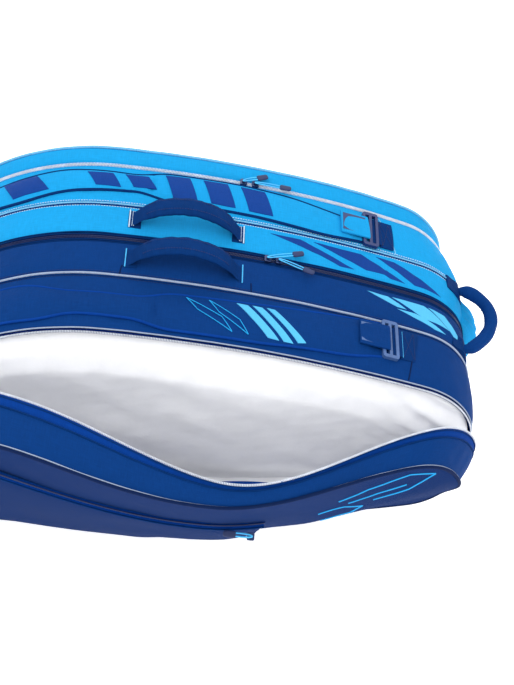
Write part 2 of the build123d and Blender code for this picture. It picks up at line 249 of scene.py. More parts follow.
def make(name, verts, faces, material, cloth=None, smooth=35):
    mesh = bpy.data.meshes.new(name)
    mesh.from_pydata([tuple(v) for v in np.asarray(verts, float)], [], faces)
    if cloth is not None:
        layer = mesh.attributes.new("cloth", "FLOAT_VECTOR", "POINT")
        flat = np.zeros((len(verts), 3), np.float32)
        flat[:, : cloth.shape[1]] = cloth
        layer.data.foreach_set("vector", flat.ravel())
    mesh.validate()
    mesh.shade_smooth()
    mesh.set_sharp_from_angle(angle=radians(smooth))
    mesh.materials.append(material)
    obj = bpy.data.objects.new(name, mesh)
    bpy.context.scene.collection.objects.link(obj)
    return obj


def outwards(obj):
    """Turns every face outwards on closed shells."""
    import bmesh

    bm = bmesh.new()
    bm.from_mesh(obj.data)
    bmesh.ops.recalc_face_normals(bm, faces=bm.faces)
    bm.to_mesh(obj.data)
    bm.free()
    return obj


def loft(name, rows, material, cloth=None, smooth=35, closed=True):
    """A closed tube from rows of section points, capped at both ends."""
    n, m = rows.shape[:2]
    faces = []
    for i in range(n - 1):
        for j in range(m if closed else m - 1):
            k = (j + 1) % m
            faces.append((i * m + j, i * m + k, (i + 1) * m + k, (i + 1) * m + j))
    faces.append(tuple(range(m - 1, -1, -1)))
    faces.append(tuple(range((n - 1) * m, n * m)))
    flat = None if cloth is None else cloth.reshape(n * m, -1)
    return outwards(make(name, rows.reshape(-1, 3), faces, material, flat, smooth))


def slab(name, outer, inner, material, cloth=None, smooth=35):
    """A closed sheet from two grids of the same size."""
    n, m = outer.shape[:2]
    verts = np.vstack([outer.reshape(-1, 3), inner.reshape(-1, 3)])
    size = n * m
    faces = []
    for i in range(n - 1):
        for j in range(m - 1):
            a, b, c, d = i * m + j, i * m + j + 1, (i + 1) * m + j + 1, (i + 1) * m + j
            faces.append((a, b, c, d))
            faces.append((size + d, size + c, size + b, size + a))
    rim = [i * m for i in range(n)] + [(n - 1) * m + j for j in range(1, m)]
    rim += [i * m + m - 1 for i in range(n - 2, -1, -1)] + list(range(m - 2, 0, -1))
    for a, b in zip(rim, rim[1:] + rim[:1]):
        faces.append((a, b, size + b, size + a))
    flat = None if cloth is None else np.vstack([cloth.reshape(size, -1)] * 2)
    return outwards(make(name, verts, faces, material, flat, smooth))


def many(name, blocks, faces, material, smooth=35):
    """Many copies of one small solid in one piece: blocks is (copies, corners, 3)."""
    copies, corners = blocks.shape[:2]
    table = [tuple(k * corners + i for i in f) for k in range(copies) for f in faces]
    return outwards(make(name, blocks.reshape(-1, 3), table, material, None, smooth))


def spline(points, count):
    """A smooth curve near given points, as even samples."""
    curve = bpy.data.curves.new("route", "CURVE")
    curve.dimensions = "3D"
    line = curve.splines.new("NURBS")
    line.points.add(len(points) - 1)
    for point, place in zip(line.points, points):
        point.co = (*place, 1)
    line.order_u = 4
    line.use_endpoint_u = True
    line.resolution_u = 24
    obj = bpy.data.objects.new("route", curve)
    mesh = bpy.data.meshes.new_from_object(obj)
    co = np.array([v.co[:] for v in mesh.vertices])
    bpy.data.objects.remove(obj)
    bpy.data.curves.remove(curve)
    bpy.data.meshes.remove(mesh)
    length = np.r_[0, np.cumsum(np.linalg.norm(np.diff(co, axis=0), axis=1))]
    even = np.linspace(0, length[-1], count)
    return np.stack([np.interp(even, length, co[:, k]) for k in range(3)], -1), length[-1]


def frames(path, up):
    """Side and up vectors along a path, square to it."""
    tangent = np.gradient(path, axis=0)
    tangent /= np.linalg.norm(tangent, axis=1, keepdims=True)
    side = np.cross(tangent, np.broadcast_to(up, path.shape))
    side /= np.linalg.norm(side, axis=1, keepdims=True)
    return tangent, side, np.cross(side, tangent)


def tube(name, path, radius, material, up=(0, 0, 1), sides=12, flat=1.0, smooth=60):
    """A round or flattened tube along a path; radius may vary along it."""
    tangent, side, lift = frames(path, np.array(up, float))
    angle = np.linspace(0, 2 * pi, sides, endpoint=False)
    radius = np.broadcast_to(radius, len(path))[:, None, None]
    ring = np.cos(angle)[None, :, None] * side[:, None] + flat * np.sin(angle)[None, :, None] * lift[:, None]
    rows = path[:, None] + ring * radius
    step = np.r_[0, np.cumsum(np.linalg.norm(np.diff(path, axis=0), axis=1))]
    cloth = np.stack(np.broadcast_arrays(step[:, None], angle[None] * radius[:, :, 0]), -1)
    return loft(name, rows, material, cloth, smooth)


# ---------------------------------------------------------------- materials
def srgb(r, g, b):
    def linear(v):
        v /= 255
        return v / 12.92 if v <= 0.04045 else ((v + 0.055) / 1.055) ** 2.4

    return (linear(r), linear(g), linear(b), 1)


class Shader:
    """A node tree written as short calls."""

    def __init__(self, name):
        self.mat = bpy.data.materials.new(name)
        self.mat.use_nodes = True
        self.tree = self.mat.node_tree
        self.bsdf = self.tree.nodes["Principled BSDF"]

    def node(self, kind, **sockets):
        made = self.tree.nodes.new(kind)
        for key, value in sockets.items():
            key = int(key[1:]) if key[0] == "i" and key[1:].isdigit() else key.replace("_", " ")
            if isinstance(value, bpy.types.NodeSocket):
                self.tree.links.new(value, made.inputs[key])
            else:
                made.inputs[key].default_value = value
        return made

    def math(self, how, a, b=0.0):
        made = self.node("ShaderNodeMath", i0=a, i1=b)
        made.operation = how
        return made.outputs[0]

    def noise(self, vector, scale, detail=3.0, rough=0.5):
        made = self.node("ShaderNodeTexNoise", Vector=vector, Scale=scale, Detail=detail, Roughness=rough)
        return made.outputs[0]

    def mix(self, factor, a, b):
        made = self.tree.nodes.new("ShaderNodeMix")
        made.data_type = "RGBA"
        for index, value in ((0, factor), (6, a), (7, b)):
            if isinstance(value, bpy.types.NodeSocket):
                self.tree.links.new(value, made.inputs[index])
            else:
                made.inputs[index].default_value = value
        return made.outputs[2]

    def ramp(self, value, low, high):
        made = self.node("ShaderNodeMapRange", Value=value)
        made.inputs["From Min"].default_value = low
        made.inputs["From Max"].default_value = high
        return made.outputs[0]

    def link(self, socket, name):
        self.tree.links.new(socket, self.bsdf.inputs[name])

    def set(self, **values):
        for key, value in values.items():
            self.bsdf.inputs[key.replace("_", " ")].default_value = value

    def bump(self, height, distance, strength=1.0, under=None):
        made = self.node("ShaderNodeBump", Strength=strength, Distance=distance, Height=height)
        if under is not None:
            self.tree.links.new(under, made.inputs["Normal"])
        return made.outputs[0]


def scaled(colour, by):
    return (*[min(1.0, c * by) for c in colour[:3]], 1)


def woven(name, colour, pitch=1.1 * MM, rough=0.72, sheen=0.0, streak=0.26, cloth=True, relief=0.18 * MM):
    """Plain-weave fabric: crossed yarns, slub streaks along them, soft mottling, sheen if asked."""
    s = Shader(name)
    coords = s.node("ShaderNodeTexCoord").outputs["Object"]
    if cloth:
        lay = s.node("ShaderNodeAttribute")
        lay.attribute_name = "cloth"
        plane = lay.outputs["Vector"]
    else:
        plane = coords
    split = s.node("ShaderNodeSeparateXYZ", Vector=plane)
    turn = 2 * pi / pitch
    warp = s.math("SINE", s.math("MULTIPLY", split.outputs[0], turn))
    weft = s.math("SINE", s.math("MULTIPLY", split.outputs[1], turn))
    if not cloth:
        weft = s.math("SINE", s.math("MULTIPLY", split.outputs[2], turn))
    weave = s.math("MULTIPLY", warp, weft)
    along = s.node("ShaderNodeMapping", Vector=plane)
    along.inputs["Scale"].default_value = (60, 900, 900)
    across = s.node("ShaderNodeMapping", Vector=plane)
    across.inputs["Scale"].default_value = (900, 60, 60)
    slub = s.math("ADD", s.noise(along.outputs[0], 1.0, 2), s.noise(across.outputs[0], 1.0, 2))
    mottle = s.noise(coords, 14, 4, 0.6)
    shade = s.math("MULTIPLY", s.math("SUBTRACT", slub, 1.0), streak * 2)
    shade = s.math("ADD", shade, s.math("MULTIPLY", s.math("SUBTRACT", mottle, 0.5), streak * 0.9))
    shade = s.math("ADD", shade, s.math("MULTIPLY", weave, streak * 0.18))
    factor = s.math("ADD", shade, 0.5)
    s.link(s.mix(factor, scaled(colour, 0.64), scaled(colour, 1.36)), "Base Color")
    s.link(s.math("ADD", s.math("MULTIPLY", mottle, 0.2), rough - 0.1), "Roughness")
    creases = s.noise(coords, 38, 5, 0.62)
    soft = s.bump(creases, 1.6 * MM, 0.55)
    s.link(s.bump(weave, relief, 0.6, soft), "Normal")
    s.set(Sheen_Weight=sheen, Sheen_Roughness=0.35, Specular_IOR_Level=0.04)
    return s.mat


def foil(name, colour, rough=0.36, metal=0.45):
    """Silver-coated lining: satin metal film over a fine cloth, crinkled."""
    s = Shader(name)
    coords = s.node("ShaderNodeTexCoord").outputs["Object"]
    fine = s.noise(coords, 320, 3, 0.6)
    crinkle = s.noise(coords, 26, 6, 0.62)
    cells = s.node("ShaderNodeTexVoronoi", Vector=coords, Scale=34.0)
    cells.feature = "SMOOTH_F1"
    folded = s.math("ADD", crinkle, s.math("MULTIPLY", cells.outputs[0], 0.6))
    s.link(s.mix(s.ramp(crinkle, 0.3, 0.7), scaled(colour, 0.93), scaled(colour, 1.0)), "Base Color")
    s.link(s.math("ADD", s.math("MULTIPLY", fine, 0.16), rough - 0.06), "Roughness")
    soft = s.bump(folded, 2.2 * MM, 0.5)
    s.link(s.bump(fine, 0.1 * MM, 0.5, soft), "Normal")
    s.set(Metallic=metal, Specular_IOR_Level=0.6, Sheen_Weight=0.15)
    return s.mat


def plastic(name, colour, rough=0.42, grain=420, coat=0.0, metal=0.0):
    """Moulded plastic, rubber or lacquered metal with a fine grain and handling wear."""
    s = Shader(name)
    coords = s.node("ShaderNodeTexCoord").outputs["Object"]
    fine = s.noise(coords, grain, 3, 0.6)
    worn = s.noise(coords, 90, 5, 0.7)
    s.link(s.mix(s.ramp(worn, 0.45, 0.75), colour, scaled(colour, 1.35)), "Base Color")
    s.link(s.math("ADD", s.math("MULTIPLY", worn, 0.22), rough - 0.1), "Roughness")
    s.link(s.bump(fine, 0.08 * MM, 0.6), "Normal")
    s.set(Metallic=metal, Coat_Weight=coat, Coat_Roughness=0.2)
    return s.mat


BLUE = srgb(26, 152, 214)
NAVY = srgb(8, 54, 116)
INK = srgb(8, 40, 92)
light_fabric = woven("light_blue_weave", BLUE, streak=0.2)
navy_fabric = woven("navy_weave", NAVY, streak=0.26)
ink_fabric = woven("dark_navy_weave", INK, rough=0.9, sheen=0.03, streak=0.2)
navy_web = woven("navy_webbing", scaled(NAVY, 0.8), pitch=2.2 * MM, relief=0.35 * MM, streak=0.3)
royal_tape = woven("royal_tape", srgb(8, 60, 142), pitch=0.8 * MM)
navy_tape = woven("navy_tape", srgb(12, 34, 92), pitch=0.8 * MM)
lining_weave = woven("grey_lining", srgb(70, 78, 92), pitch=0.9 * MM)
silver_foil = foil("silver_foil", srgb(252, 252, 254), 0.5, 0.0)
# Silver piping cord; this material also draws the painted highlight line beside the front zip.
silver_cord_and_highlight = woven("silver_piping_and_highlight", srgb(160, 174, 198), pitch=0.9 * MM, streak=0.3)
pale_cord = woven("pale_blue_piping", srgb(120, 190, 240), pitch=0.9 * MM, streak=0.3)
dark_cord = woven("dark_piping", srgb(16, 34, 74), pitch=0.9 * MM)
silver_coil = plastic("silver_coil", srgb(206, 211, 220), 0.36)
navy_coil = plastic("navy_coil", srgb(20, 36, 84), 0.36)
cyan_thread = plastic("cyan_thread", srgb(70, 180, 238), 0.7)
white_thread = plastic("white_thread", srgb(200, 220, 240), 0.7)
navy_thread = plastic("navy_thread", srgb(12, 36, 92), 0.7)
dark_print = woven("dark_print", srgb(20, 62, 138), streak=0.2, rough=0.5)
cyan_print = woven("cyan_print", srgb(38, 160, 230), streak=0.15, rough=0.5)
pale_print = woven("pale_print", srgb(86, 184, 242), streak=0.15, rough=0.5)
# Front buckle: navy plastic lightened to grey-blue all over, a painted highlight.
buckle_painted_highlight = plastic("front_buckle_painted_highlight", srgb(62, 92, 142), 0.4)
buckle_navy = plastic("buckle_navy", srgb(14, 36, 92), 0.4)
lacquer = plastic("slider_lacquer", srgb(26, 44, 88), 0.32, coat=0.4, metal=0.7)
tag_rubber = plastic("tag_rubber", srgb(14, 34, 82), 0.55)
board_plastic = plastic("board_plastic", srgb(40, 42, 46), 0.6)


# ---------------------------------------------------------------- the open front cover
PEAK_LEAN, RIM_LEAN = radians(25.4), radians(7.5)


def hill(x, centre, left, right):
    return np.exp(-(((x - centre) / np.where(x < centre, left, right)) ** 2))


def lean(points):
    """Opens the closed tray about its bottom edge: most in the middle, least at its zipped ends."""
    x, y, z = points[..., 0], points[..., 1], points[..., 2]
    out = np.clip((y - FRONT_FACE) / (FRONT_ZIP - FRONT_FACE), 0, 1)
    turn = PEAK_LEAN * hill(x, 0.03, 0.37, 0.255) + RIM_LEAN * hill(x, 0.10, 0.165, 0.25) * out
    reach = y - FRONT_FACE
    return np.stack(
        [
            x, FRONT_FACE + reach * np.cos(turn) - z * np.sin(turn),
            z * np.cos(turn) + reach * np.sin(turn),
        ], -1
    )


def on_cover(obj, half, *nodes):
    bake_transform(obj)
    if nodes:
        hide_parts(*nodes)
    return obj


def on_body(obj, body, *nodes):
    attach(obj, body)
    if nodes:
        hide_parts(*nodes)
    return obj


SPLIT_S = float(LOOP.of_x(SPLIT_X))
HALVES = {"left": (0.0, SPLIT_S), "right": (SPLIT_S, LOOP.length)}


# ---------------------------------------------------------------- strips of fabric
def even(low, high, step):
    return np.linspace(low, high, max(2, ceil((high - low) / step) + 1))


class Strip:
    """A sewn strip that follows the outline between two seams, pillowed and a little slack."""

    def __init__(
        self, low, high, bulge=1.6 * MM, slack=0.9 * MM, seed=1, track=ARCH, thick=GUSSET - 0.4 * MM,
    ):
        self.low, self.high, self.bulge, self.slack = low, high, bulge, slack
        self.seed, self.track, self.thick = seed, track, thick

    def lift(self, s, y):
        across = np.abs(2 * (y - self.low) / (self.high - self.low) - 1)
        free = 1 - across**4
        roll = 1.6 * MM * across**16
        long_wave = ripple(s, y * 0.6, self.seed, 0.16, 6)
        short_wave = ripple(s, y, self.seed + 50, 0.035, 8) * 0.35
        return self.bulge * (1 - across**2) - roll + self.slack * free * (long_wave + short_wave)

    def build(self, name, material, slot, span=None, warp=None):
        s0, s1 = span or (0.0, self.track.length)
        s = even(s0, s1, 0.005)[:, None]
        turn = np.linspace(0, pi, max(9, ceil((self.high - self.low) / 0.004)))
        y = (self.low + (self.high - self.low) * (1 - np.cos(turn)) / 2)[None, :]
        lift = self.lift(s, y)
        outer = self.track.place(s, y, lift)
        inner = self.track.place(s, y, np.minimum(lift, 0) - self.thick)
        if warp:
            outer, inner = warp(outer), warp(inner)
        cloth = np.stack(np.broadcast_arrays(s, y), -1)
        return slab(name, outer, inner, material, cloth)

    def at(self, x, y, lift=0.0):
        """A place above the crown part of this strip."""
        s = self.track.of_x(np.asarray(x, float))
        y = np.asarray(y, float)
        return self.track.place(s, y, self.lift(s, y) + lift)


def line_on(strip, points, count=60, lift=0.2 * MM):
    """A smooth run over a strip through a few (x, y) places."""
    points = np.array(points, float)
    length = np.r_[0, np.cumsum(np.hypot(*np.diff(points, axis=0).T))]
    t = np.linspace(0, length[-1], count)
    return strip.at(np.interp(t, length, points[:, 0]), np.interp(t, length, points[:, 1]), lift)


def decal(strip, corners, lift=0.35 * MM, depth=0.6 * MM, step=0.004):
    """A printed patch between four (x, y) corners: outer grid, inner grid and cloth coordinates."""
    a, b, c, d = (np.array(p, float) for p in corners)
    n = max(3, ceil(np.linalg.norm(b - a) / step))
    m = max(3, ceil(np.linalg.norm(d - a) / step))
    u = np.linspace(0, 1, n)[:, None, None]
    v = np.linspace(0, 1, m)[None, :, None]
    flat = a * (1 - u) * (1 - v) + b * u * (1 - v) + c * u * v + d * (1 - u) * v
    return (
        strip.at(flat[..., 0], flat[..., 1], lift),
        strip.at(flat[..., 0], flat[..., 1], lift - depth),
        flat,
    )


BAR = [(0, 1, 3, 2), (4, 6, 7, 5), (0, 4, 5, 1), (2, 3, 7, 6), (0, 2, 6, 4), (1, 5, 7, 3)]


def bars(centre, along, across, up, length, width, height, taper=0.6):
    """Small bars, narrower at the top, as blocks of eight corners."""
    corners = []
    for i in (-1, 1):
        for j in (-1, 1):
            for k in (-1, 1):
                scale = taper if k > 0 else 1
                corners.append(
                    centre
                    + along * (i * length / 2 * scale)
                    + across * (j * width / 2 * scale)
                    + up * (k * height / 2)
                )
    return np.stack(corners, 1)


def stitch_blocks(path, up, pitch=3.4 * MM, length=2.5 * MM, width=0.8 * MM, height=0.7 * MM):
    """A run of thread stitches along a path."""
    run = np.r_[0, np.cumsum(np.linalg.norm(np.diff(path, axis=0), axis=1))]
    s = np.arange(pitch / 2, run[-1], pitch)
    centre = np.stack([np.interp(s, run, path[:, k]) for k in range(3)], -1)
    tangent = np.stack([np.interp(s + 1e-3, run, path[:, k]) for k in range(3)], -1) - np.stack(
        [np.interp(s - 1e-3, run, path[:, k]) for k in range(3)], -1
    )
    tangent /= np.linalg.norm(tangent, axis=1, keepdims=True)
    up = np.broadcast_to(up, centre.shape)
    across = np.cross(up, tangent)
    across /= np.linalg.norm(across, axis=1, keepdims=True)
    lift = np.cross(tangent, across)
    return bars(centre, tangent, across, lift, length, width, height)


def stitched(name, paths, material, slot, up=(0, 0, 1), **sizes):
    blocks = np.concatenate([stitch_blocks(p, np.array(up, float), **sizes) for p in paths])
    return many(name, blocks, BAR, material)


# ---------------------------------------------------------------- shell of the bag
EDGE = 2.5 * MM
STRIPS = {
    "front_gusset": Strip(FRONT_ZIP + SLOT, FRONT_SEAM - EDGE, 2.4 * MM, 1.0 * MM, seed=3),
    "middle_front_gusset": Strip(FRONT_SEAM + EDGE, MIDDLE_ZIP - SLOT, 2.0 * MM, 1.0 * MM, seed=4),
    "middle_rear_gusset": Strip(MIDDLE_ZIP + SLOT, REAR_SEAM - EDGE, 2.0 * MM, 1.1 * MM, seed=5),
    "rear_gusset": Strip(REAR_SEAM + EDGE, REAR_ZIP - 0.5 * SLOT, 2.2 * MM, 1.1 * MM, seed=6),
    "rear_cover_gusset": Strip(REAR_ZIP + 0.5 * SLOT, REAR_FACE - 3 * MM, 2.0 * MM, 1.0 * MM, seed=7),
}
LOOK = {
    "front_gusset": (navy_fabric, "navy_fabric", "main_body"),
    "middle_front_gusset": (navy_fabric, "navy_fabric", "main_body"),
    "middle_rear_gusset": (light_fabric, "light_blue_fabric", "rear_block"),
    "rear_gusset": (light_fabric, "light_blue_fabric", "rear_block"),
    "rear_cover_gusset": (light_fabric, "light_blue_fabric", "rear_cover"),
}
for node, strip in STRIPS.items():
    material, slot, body = LOOK[node]
    on_body(strip.build(f"{node}_fabric", material, slot), body, node)

COVER_GUSSET = Strip(FRONT_FACE + 3 * MM, FRONT_ZIP - 16 * MM, 3.0 * MM, 1.6 * MM, seed=8, track=LOOP)
for half, span in HALVES.items():
    piece = COVER_GUSSET.build(f"front_cover_gusset_{half}", navy_fabric, "navy_fabric", span, lean)
    on_cover(piece, half, "front_cover_gusset")


def base(name, low, high, seed, material, slot):
    return Strip(low, high, 0.4 * MM, 0.5 * MM, seed, TROUGH, GUSSET - 0.6 * MM).build(name, material, slot)


on_body(
    base("base_front_fabric", BASE_FRONT, FRONT_SEAM, 11, ink_fabric, "dark_navy_fabric"), "main_body",
    "base_panel",
)
fold = base("base_middle_fabric", FRONT_SEAM, REAR_SEAM + EDGE, 12, ink_fabric, "dark_navy_fabric")
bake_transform(fold)
rear_base = base(
    "base_rear_fabric", REAR_SEAM + EDGE, REAR_FACE - 4 * MM, 13, ink_fabric, "dark_navy_fabric",
)
on_body(rear_base, "rear_block", "rear_base_panel")


def welt(name, y, radius, material, lift=0.4 * MM, span=None, track=ARCH, warp=None, step=0.006):
    """A corded edge along the outline."""
    s0, s1 = span or (0.0, track.length)
    s = even(s0, s1, step)
    wave = 0.35 * MM * ripple(s, 0 * s, int(abs(y) * 1e4) + 7, 0.08, 5)
    path = track.place(s, y + wave, lift)
    if warp:
        path = warp(path)
    return tube(name, path, radius, material, up=(0, 1, 0), sides=8)


on_body(
    welt("front_seam_cord", FRONT_SEAM, 1.5 * MM, silver_cord_and_highlight), "main_body",
    "front_seam_piping",
)
front_dark = welt(
    "front_seam_fold", FRONT_SEAM - 2.6 * MM, 1.3 * MM, navy_web, lift=-0.6 * MM,
)
on_body(front_dark, "main_body")
on_body(welt("rear_seam_cord", REAR_SEAM, 1.1 * MM, pale_cord), "rear_block", "rear_seam_piping")
rear_edge = welt("rear_edge_cord", REAR_FACE - 2 * MM, 1.9 * MM, pale_cord, track=LOOP)
on_body(rear_edge, "rear_cover", "rear_cover_piping")
for half, span in HALVES.items():
    cord = welt(
        f"front_edge_cord_{half}", FRONT_FACE + 1.5 * MM, 2.1 * MM, dark_cord, 0.9 * MM,
        span, LOOP, lean
    )
    on_cover(cord, half, "front_cover_piping")
    fine = welt(
        f"front_edge_line_{half}", FRONT_FACE + 4.5 * MM, 0.8 * MM, silver_cord_and_highlight, 0.9 * MM,
        span, LOOP, lean
    )
    on_cover(fine, half)


# ---------------------------------------------------------------- zips
TOOTH = 1.9 * MM


def tape(name, low, high, drop_low, drop_high, material, slot, span=None, track=ARCH, warp=None):
    """A flat zip tape; its two long edges may lie at different depths."""
    s0, s1 = span or (0.0, track.length)
    s = even(s0, s1, 0.006)[:, None]
    t = np.linspace(0, 1, 5)[None, :]
    y = low + (high - low) * t
    lift = -(drop_low + (drop_high - drop_low) * t) + 0 * s
    outer, inner = track.place(s, y, lift), track.place(s, y, lift - 0.8 * MM)
    if warp:
        outer, inner = warp(outer), warp(inner)
    return slab(name, outer, inner, material, np.stack(np.broadcast_arrays(s, y), -1))


def coil(name, y, side, material, span=None, track=ARCH, warp=None, drop=1.8 * MM, width=2.6 * MM):
    """One row of coil: small rounded turns across the tape."""
    s0, s1 = span or (0.0, track.length)
    s = np.arange(s0 + TOOTH * (0.5 if side > 0 else 1.0), s1, TOOTH)
    middle = y + side * (width / 2 + 0.1 * MM)
    centre = track.place(s, middle, -drop)
    ahead = track.place(s + 0.4 * MM, middle, -drop) - track.place(s - 0.4 * MM, middle, -drop)
    if warp:
        near, far = warp(track.place(s, middle - 1e-3, -drop)), warp(track.place(s, middle + 1e-3, -drop))
        ahead = (
            warp(track.place(s + 0.4 * MM, middle, -drop))
            - warp(track.place(s - 0.4 * MM, middle, -drop))
        )
        centre, across = warp(centre), far - near
    else:
        across = np.broadcast_to([0.0, 1.0, 0.0], centre.shape)
    ahead = ahead / np.linalg.norm(ahead, axis=1, keepdims=True)
    across = across / np.linalg.norm(across, axis=1, keepdims=True)
    up = np.cross(ahead, across)
    blocks = bars(centre, ahead, across, up, TOOTH * 0.72, width, 1.5 * MM)
    return many(name, blocks, BAR, material)


def body_zip(name, y, side, tape_material, tape_slot, coil_material, body, node, drop=1.8 * MM, edge=SLOT):
    far = y + side * (edge + 4 * MM)
    near = y + side * 0.6 * MM
    deep = (drop + 0.8 * MM, drop + 1.6 * MM)
    low, high = (near, far) if side > 0 else (far, near)
    drops = deep if side > 0 else deep[::-1]
    on_body(tape(f"{name}_tape", low, high, *drops, tape_material, tape_slot), body, node)
    on_body(coil(f"{name}_coil", y, side, coil_material, drop=drop), body)


body_zip(
    "rear_zip_body", REAR_ZIP, -1, light_fabric, "zip_tape_grey", silver_coil, "rear_block",
    "rear_zip_body_row", 0.4 * MM, 0.5 * SLOT,
)
body_zip(
    "rear_zip_cover", REAR_ZIP, 1, light_fabric, "zip_tape_grey", silver_coil, "rear_cover",
    "rear_cover_zip_row", 0.4 * MM, 0.5 * SLOT,
)
body_zip(
    "middle_zip_front", MIDDLE_ZIP, -1, navy_tape, "zip_tape_navy", navy_coil, "main_body",
    "middle_zip_front_row",
)
body_zip(
    "middle_zip_rear", MIDDLE_ZIP, 1, navy_tape, "zip_tape_navy", navy_coil, "rear_block",
    "middle_zip_rear_row",
)
body_zip(
    "front_zip_body", FRONT_ZIP, 1, navy_tape, "zip_tape_navy", silver_coil, "main_body",
    "front_zip_body_row",
)
for side, body in ((-1, "main_body"), (1, "rear_block")):
    for index, out in enumerate((7.6, 4.6)):
        ridge = welt(
            f"middle_zip_welt_{body}_{index}", MIDDLE_ZIP + side * out * MM, 0.9 * MM, navy_web,
            -1.2 * MM
        )
        on_body(ridge, body)
# A silver cord along the gusset edge beside the front zip stands in for a painted highlight line.
zip_edge_highlight = welt(
    "front_zip_painted_highlight", FRONT_ZIP + 6.6 * MM, 0.9 * MM, silver_cord_and_highlight, -0.6 * MM,
)
on_body(zip_edge_highlight, "main_body")
for half, span in HALVES.items():
    inner = (span[0] + (0.12 if half == "left" else 0), span[1] - (0.12 if half == "right" else 0))
    band = tape(
        f"front_cover_zip_tape_{half}", FRONT_ZIP - 19 * MM, FRONT_ZIP - 1 * MM, 2.4 * MM, 0.4 * MM,
        royal_tape, "zip_tape_blue", span, LOOP, lean,
    )
    on_cover(band, half, "front_cover_zip_row")
    row = coil(
        f"front_cover_zip_coil_{half}", FRONT_ZIP + 0.4 * MM, -1, silver_coil,
        inner, LOOP, lean, -0.3 * MM, 3 * MM
    )
    on_cover(row, half)
    ridge = welt(
        f"front_cover_zip_ridge_{half}", FRONT_ZIP - 5.5 * MM, 0.8 * MM, navy_web,
        0.0, span, LOOP, lean
    )
    on_cover(ridge, half)
    fine = welt(
        f"front_cover_gusset_edge_{half}", FRONT_ZIP - 17 * MM, 1.1 * MM, navy_web,
        0.2 * MM, span, LOOP, lean
    )
    on_cover(fine, half)


# ---------------------------------------------------------------- flat padded faces
def columns(low, high, step=0.0055, whole=True):
    """Stations along the bag, close together where the outline turns upright."""
    count = ceil((high - low) / step)
    if whole:
        return (low + high) / 2 - (high - low) / 2 * np.cos(np.linspace(0, pi, int(count * 1.5)))
    return np.linspace(low, high, count)


def face_grid(x, inset, rows=46):
    low, high = outline_z(x, inset)
    v = (1 - np.cos(np.linspace(0, pi, rows))) / 2
    return np.broadcast_to(x[:, None], (len(x), rows)), low[:, None] + (high - low)[:, None] * v[None]


def puff(x, z, height, seed, edge=0.05):
    """How far a padded panel stands out, with soft unevenness."""
    gap = edge_gap(x, z)
    fill = 1 - np.exp(-gap / edge)
    return (
        height * fill
        + 1.6 * MM * fill * ripple(x, z, seed, 0.2, 7)
        + 0.5 * MM * fill * ripple(x, z, seed + 9, 0.05, 8)
    )


FACE_INSET = 1 * MM


def cover_columns(half, inset=FACE_INSET):
    low, high = ends(inset)
    full = columns(low, high)
    if half == "left":
        return np.r_[full[full < SPLIT_X - 1e-4], SPLIT_X]
    return np.r_[SPLIT_X, full[full > SPLIT_X + 1e-4]]


def cover_sheet(name, half, near, far, inset, material, bulge=0.0, seed=20):
    """A panel of the open cover between two depths of the closed tray."""
    x, z = face_grid(cover_columns(half, inset), inset)
    swell = puff(x, z, bulge, seed) if bulge else 0 * x
    outer = lean(settle(np.stack([x, near - swell, z], -1)))
    inner = lean(settle(np.stack([x, far + 0 * x, z], -1)))
    return slab(name, outer, inner, material, np.stack([x, z], -1))


for half in HALVES:
    shell = cover_sheet(
        f"front_cover_panel_{half}", half, FRONT_FACE, FRONT_FACE + 8 * MM, FACE_INSET, ink_fabric,
        6 * MM
    )
    on_cover(shell, half, "front_cover_face", "front_cover_foam")
    inside = cover_sheet(
        f"front_cover_lining_{half}", half, FRONT_FACE + 8.3 * MM, FRONT_FACE + 9.6 * MM, 6 * MM,
        silver_foil
    )
    on_cover(inside, half, "front_cover_lining")
    cut_x = cover_columns(half, 6 * MM)
    cut_low, cut_high = outline_z(cut_x, 6 * MM)

rear_x, rear_z = face_grid(columns(*ends(FACE_INSET)), FACE_INSET)
rear_out = settle(np.stack([rear_x, REAR_FACE - 1 * MM + puff(rear_x, rear_z, 9 * MM, 31), rear_z], -1))
rear_in = settle(np.stack([rear_x, REAR_FACE - 8 * MM + 0 * rear_x, rear_z], -1))
rear_panel = slab(
    "rear_cover_panel", rear_out, rear_in, light_fabric,
    np.stack([rear_x, rear_z], -1),
)
on_body(rear_panel, "rear_cover", "rear_cover_face", "rear_cover_foam")
back_x, back_z = face_grid(columns(*ends(6 * MM)), 6 * MM)
back_out = settle(np.stack([back_x, REAR_FACE - 8.4 * MM + 0 * back_x, back_z], -1))
back_in = settle(np.stack([back_x, REAR_FACE - 9.8 * MM + 0 * back_x, back_z], -1))
back_cloth = np.stack([back_x, back_z], -1)
rear_lining = slab("rear_cover_lining_cloth", back_out, back_in, lining_weave, back_cloth)
on_body(rear_lining, "rear_cover", "rear_cover_lining")
board_x = np.linspace(HEAD_FOOT[0], BREAK_X, 24)[:, None]
board_y = np.linspace(FRONT_FACE + 12 * MM, FRONT_SEAM - 4 * MM, 12)[None]
board_top = settle(np.stack(np.broadcast_arrays(board_x, board_y, 7 * MM), -1))
board_under = settle(np.stack(np.broadcast_arrays(board_x, board_y, 4.2 * MM), -1))
front_board = slab("front_base_board_bent", board_top, board_under, board_plastic)
on_body(front_board, "main_body", "front_base_board")

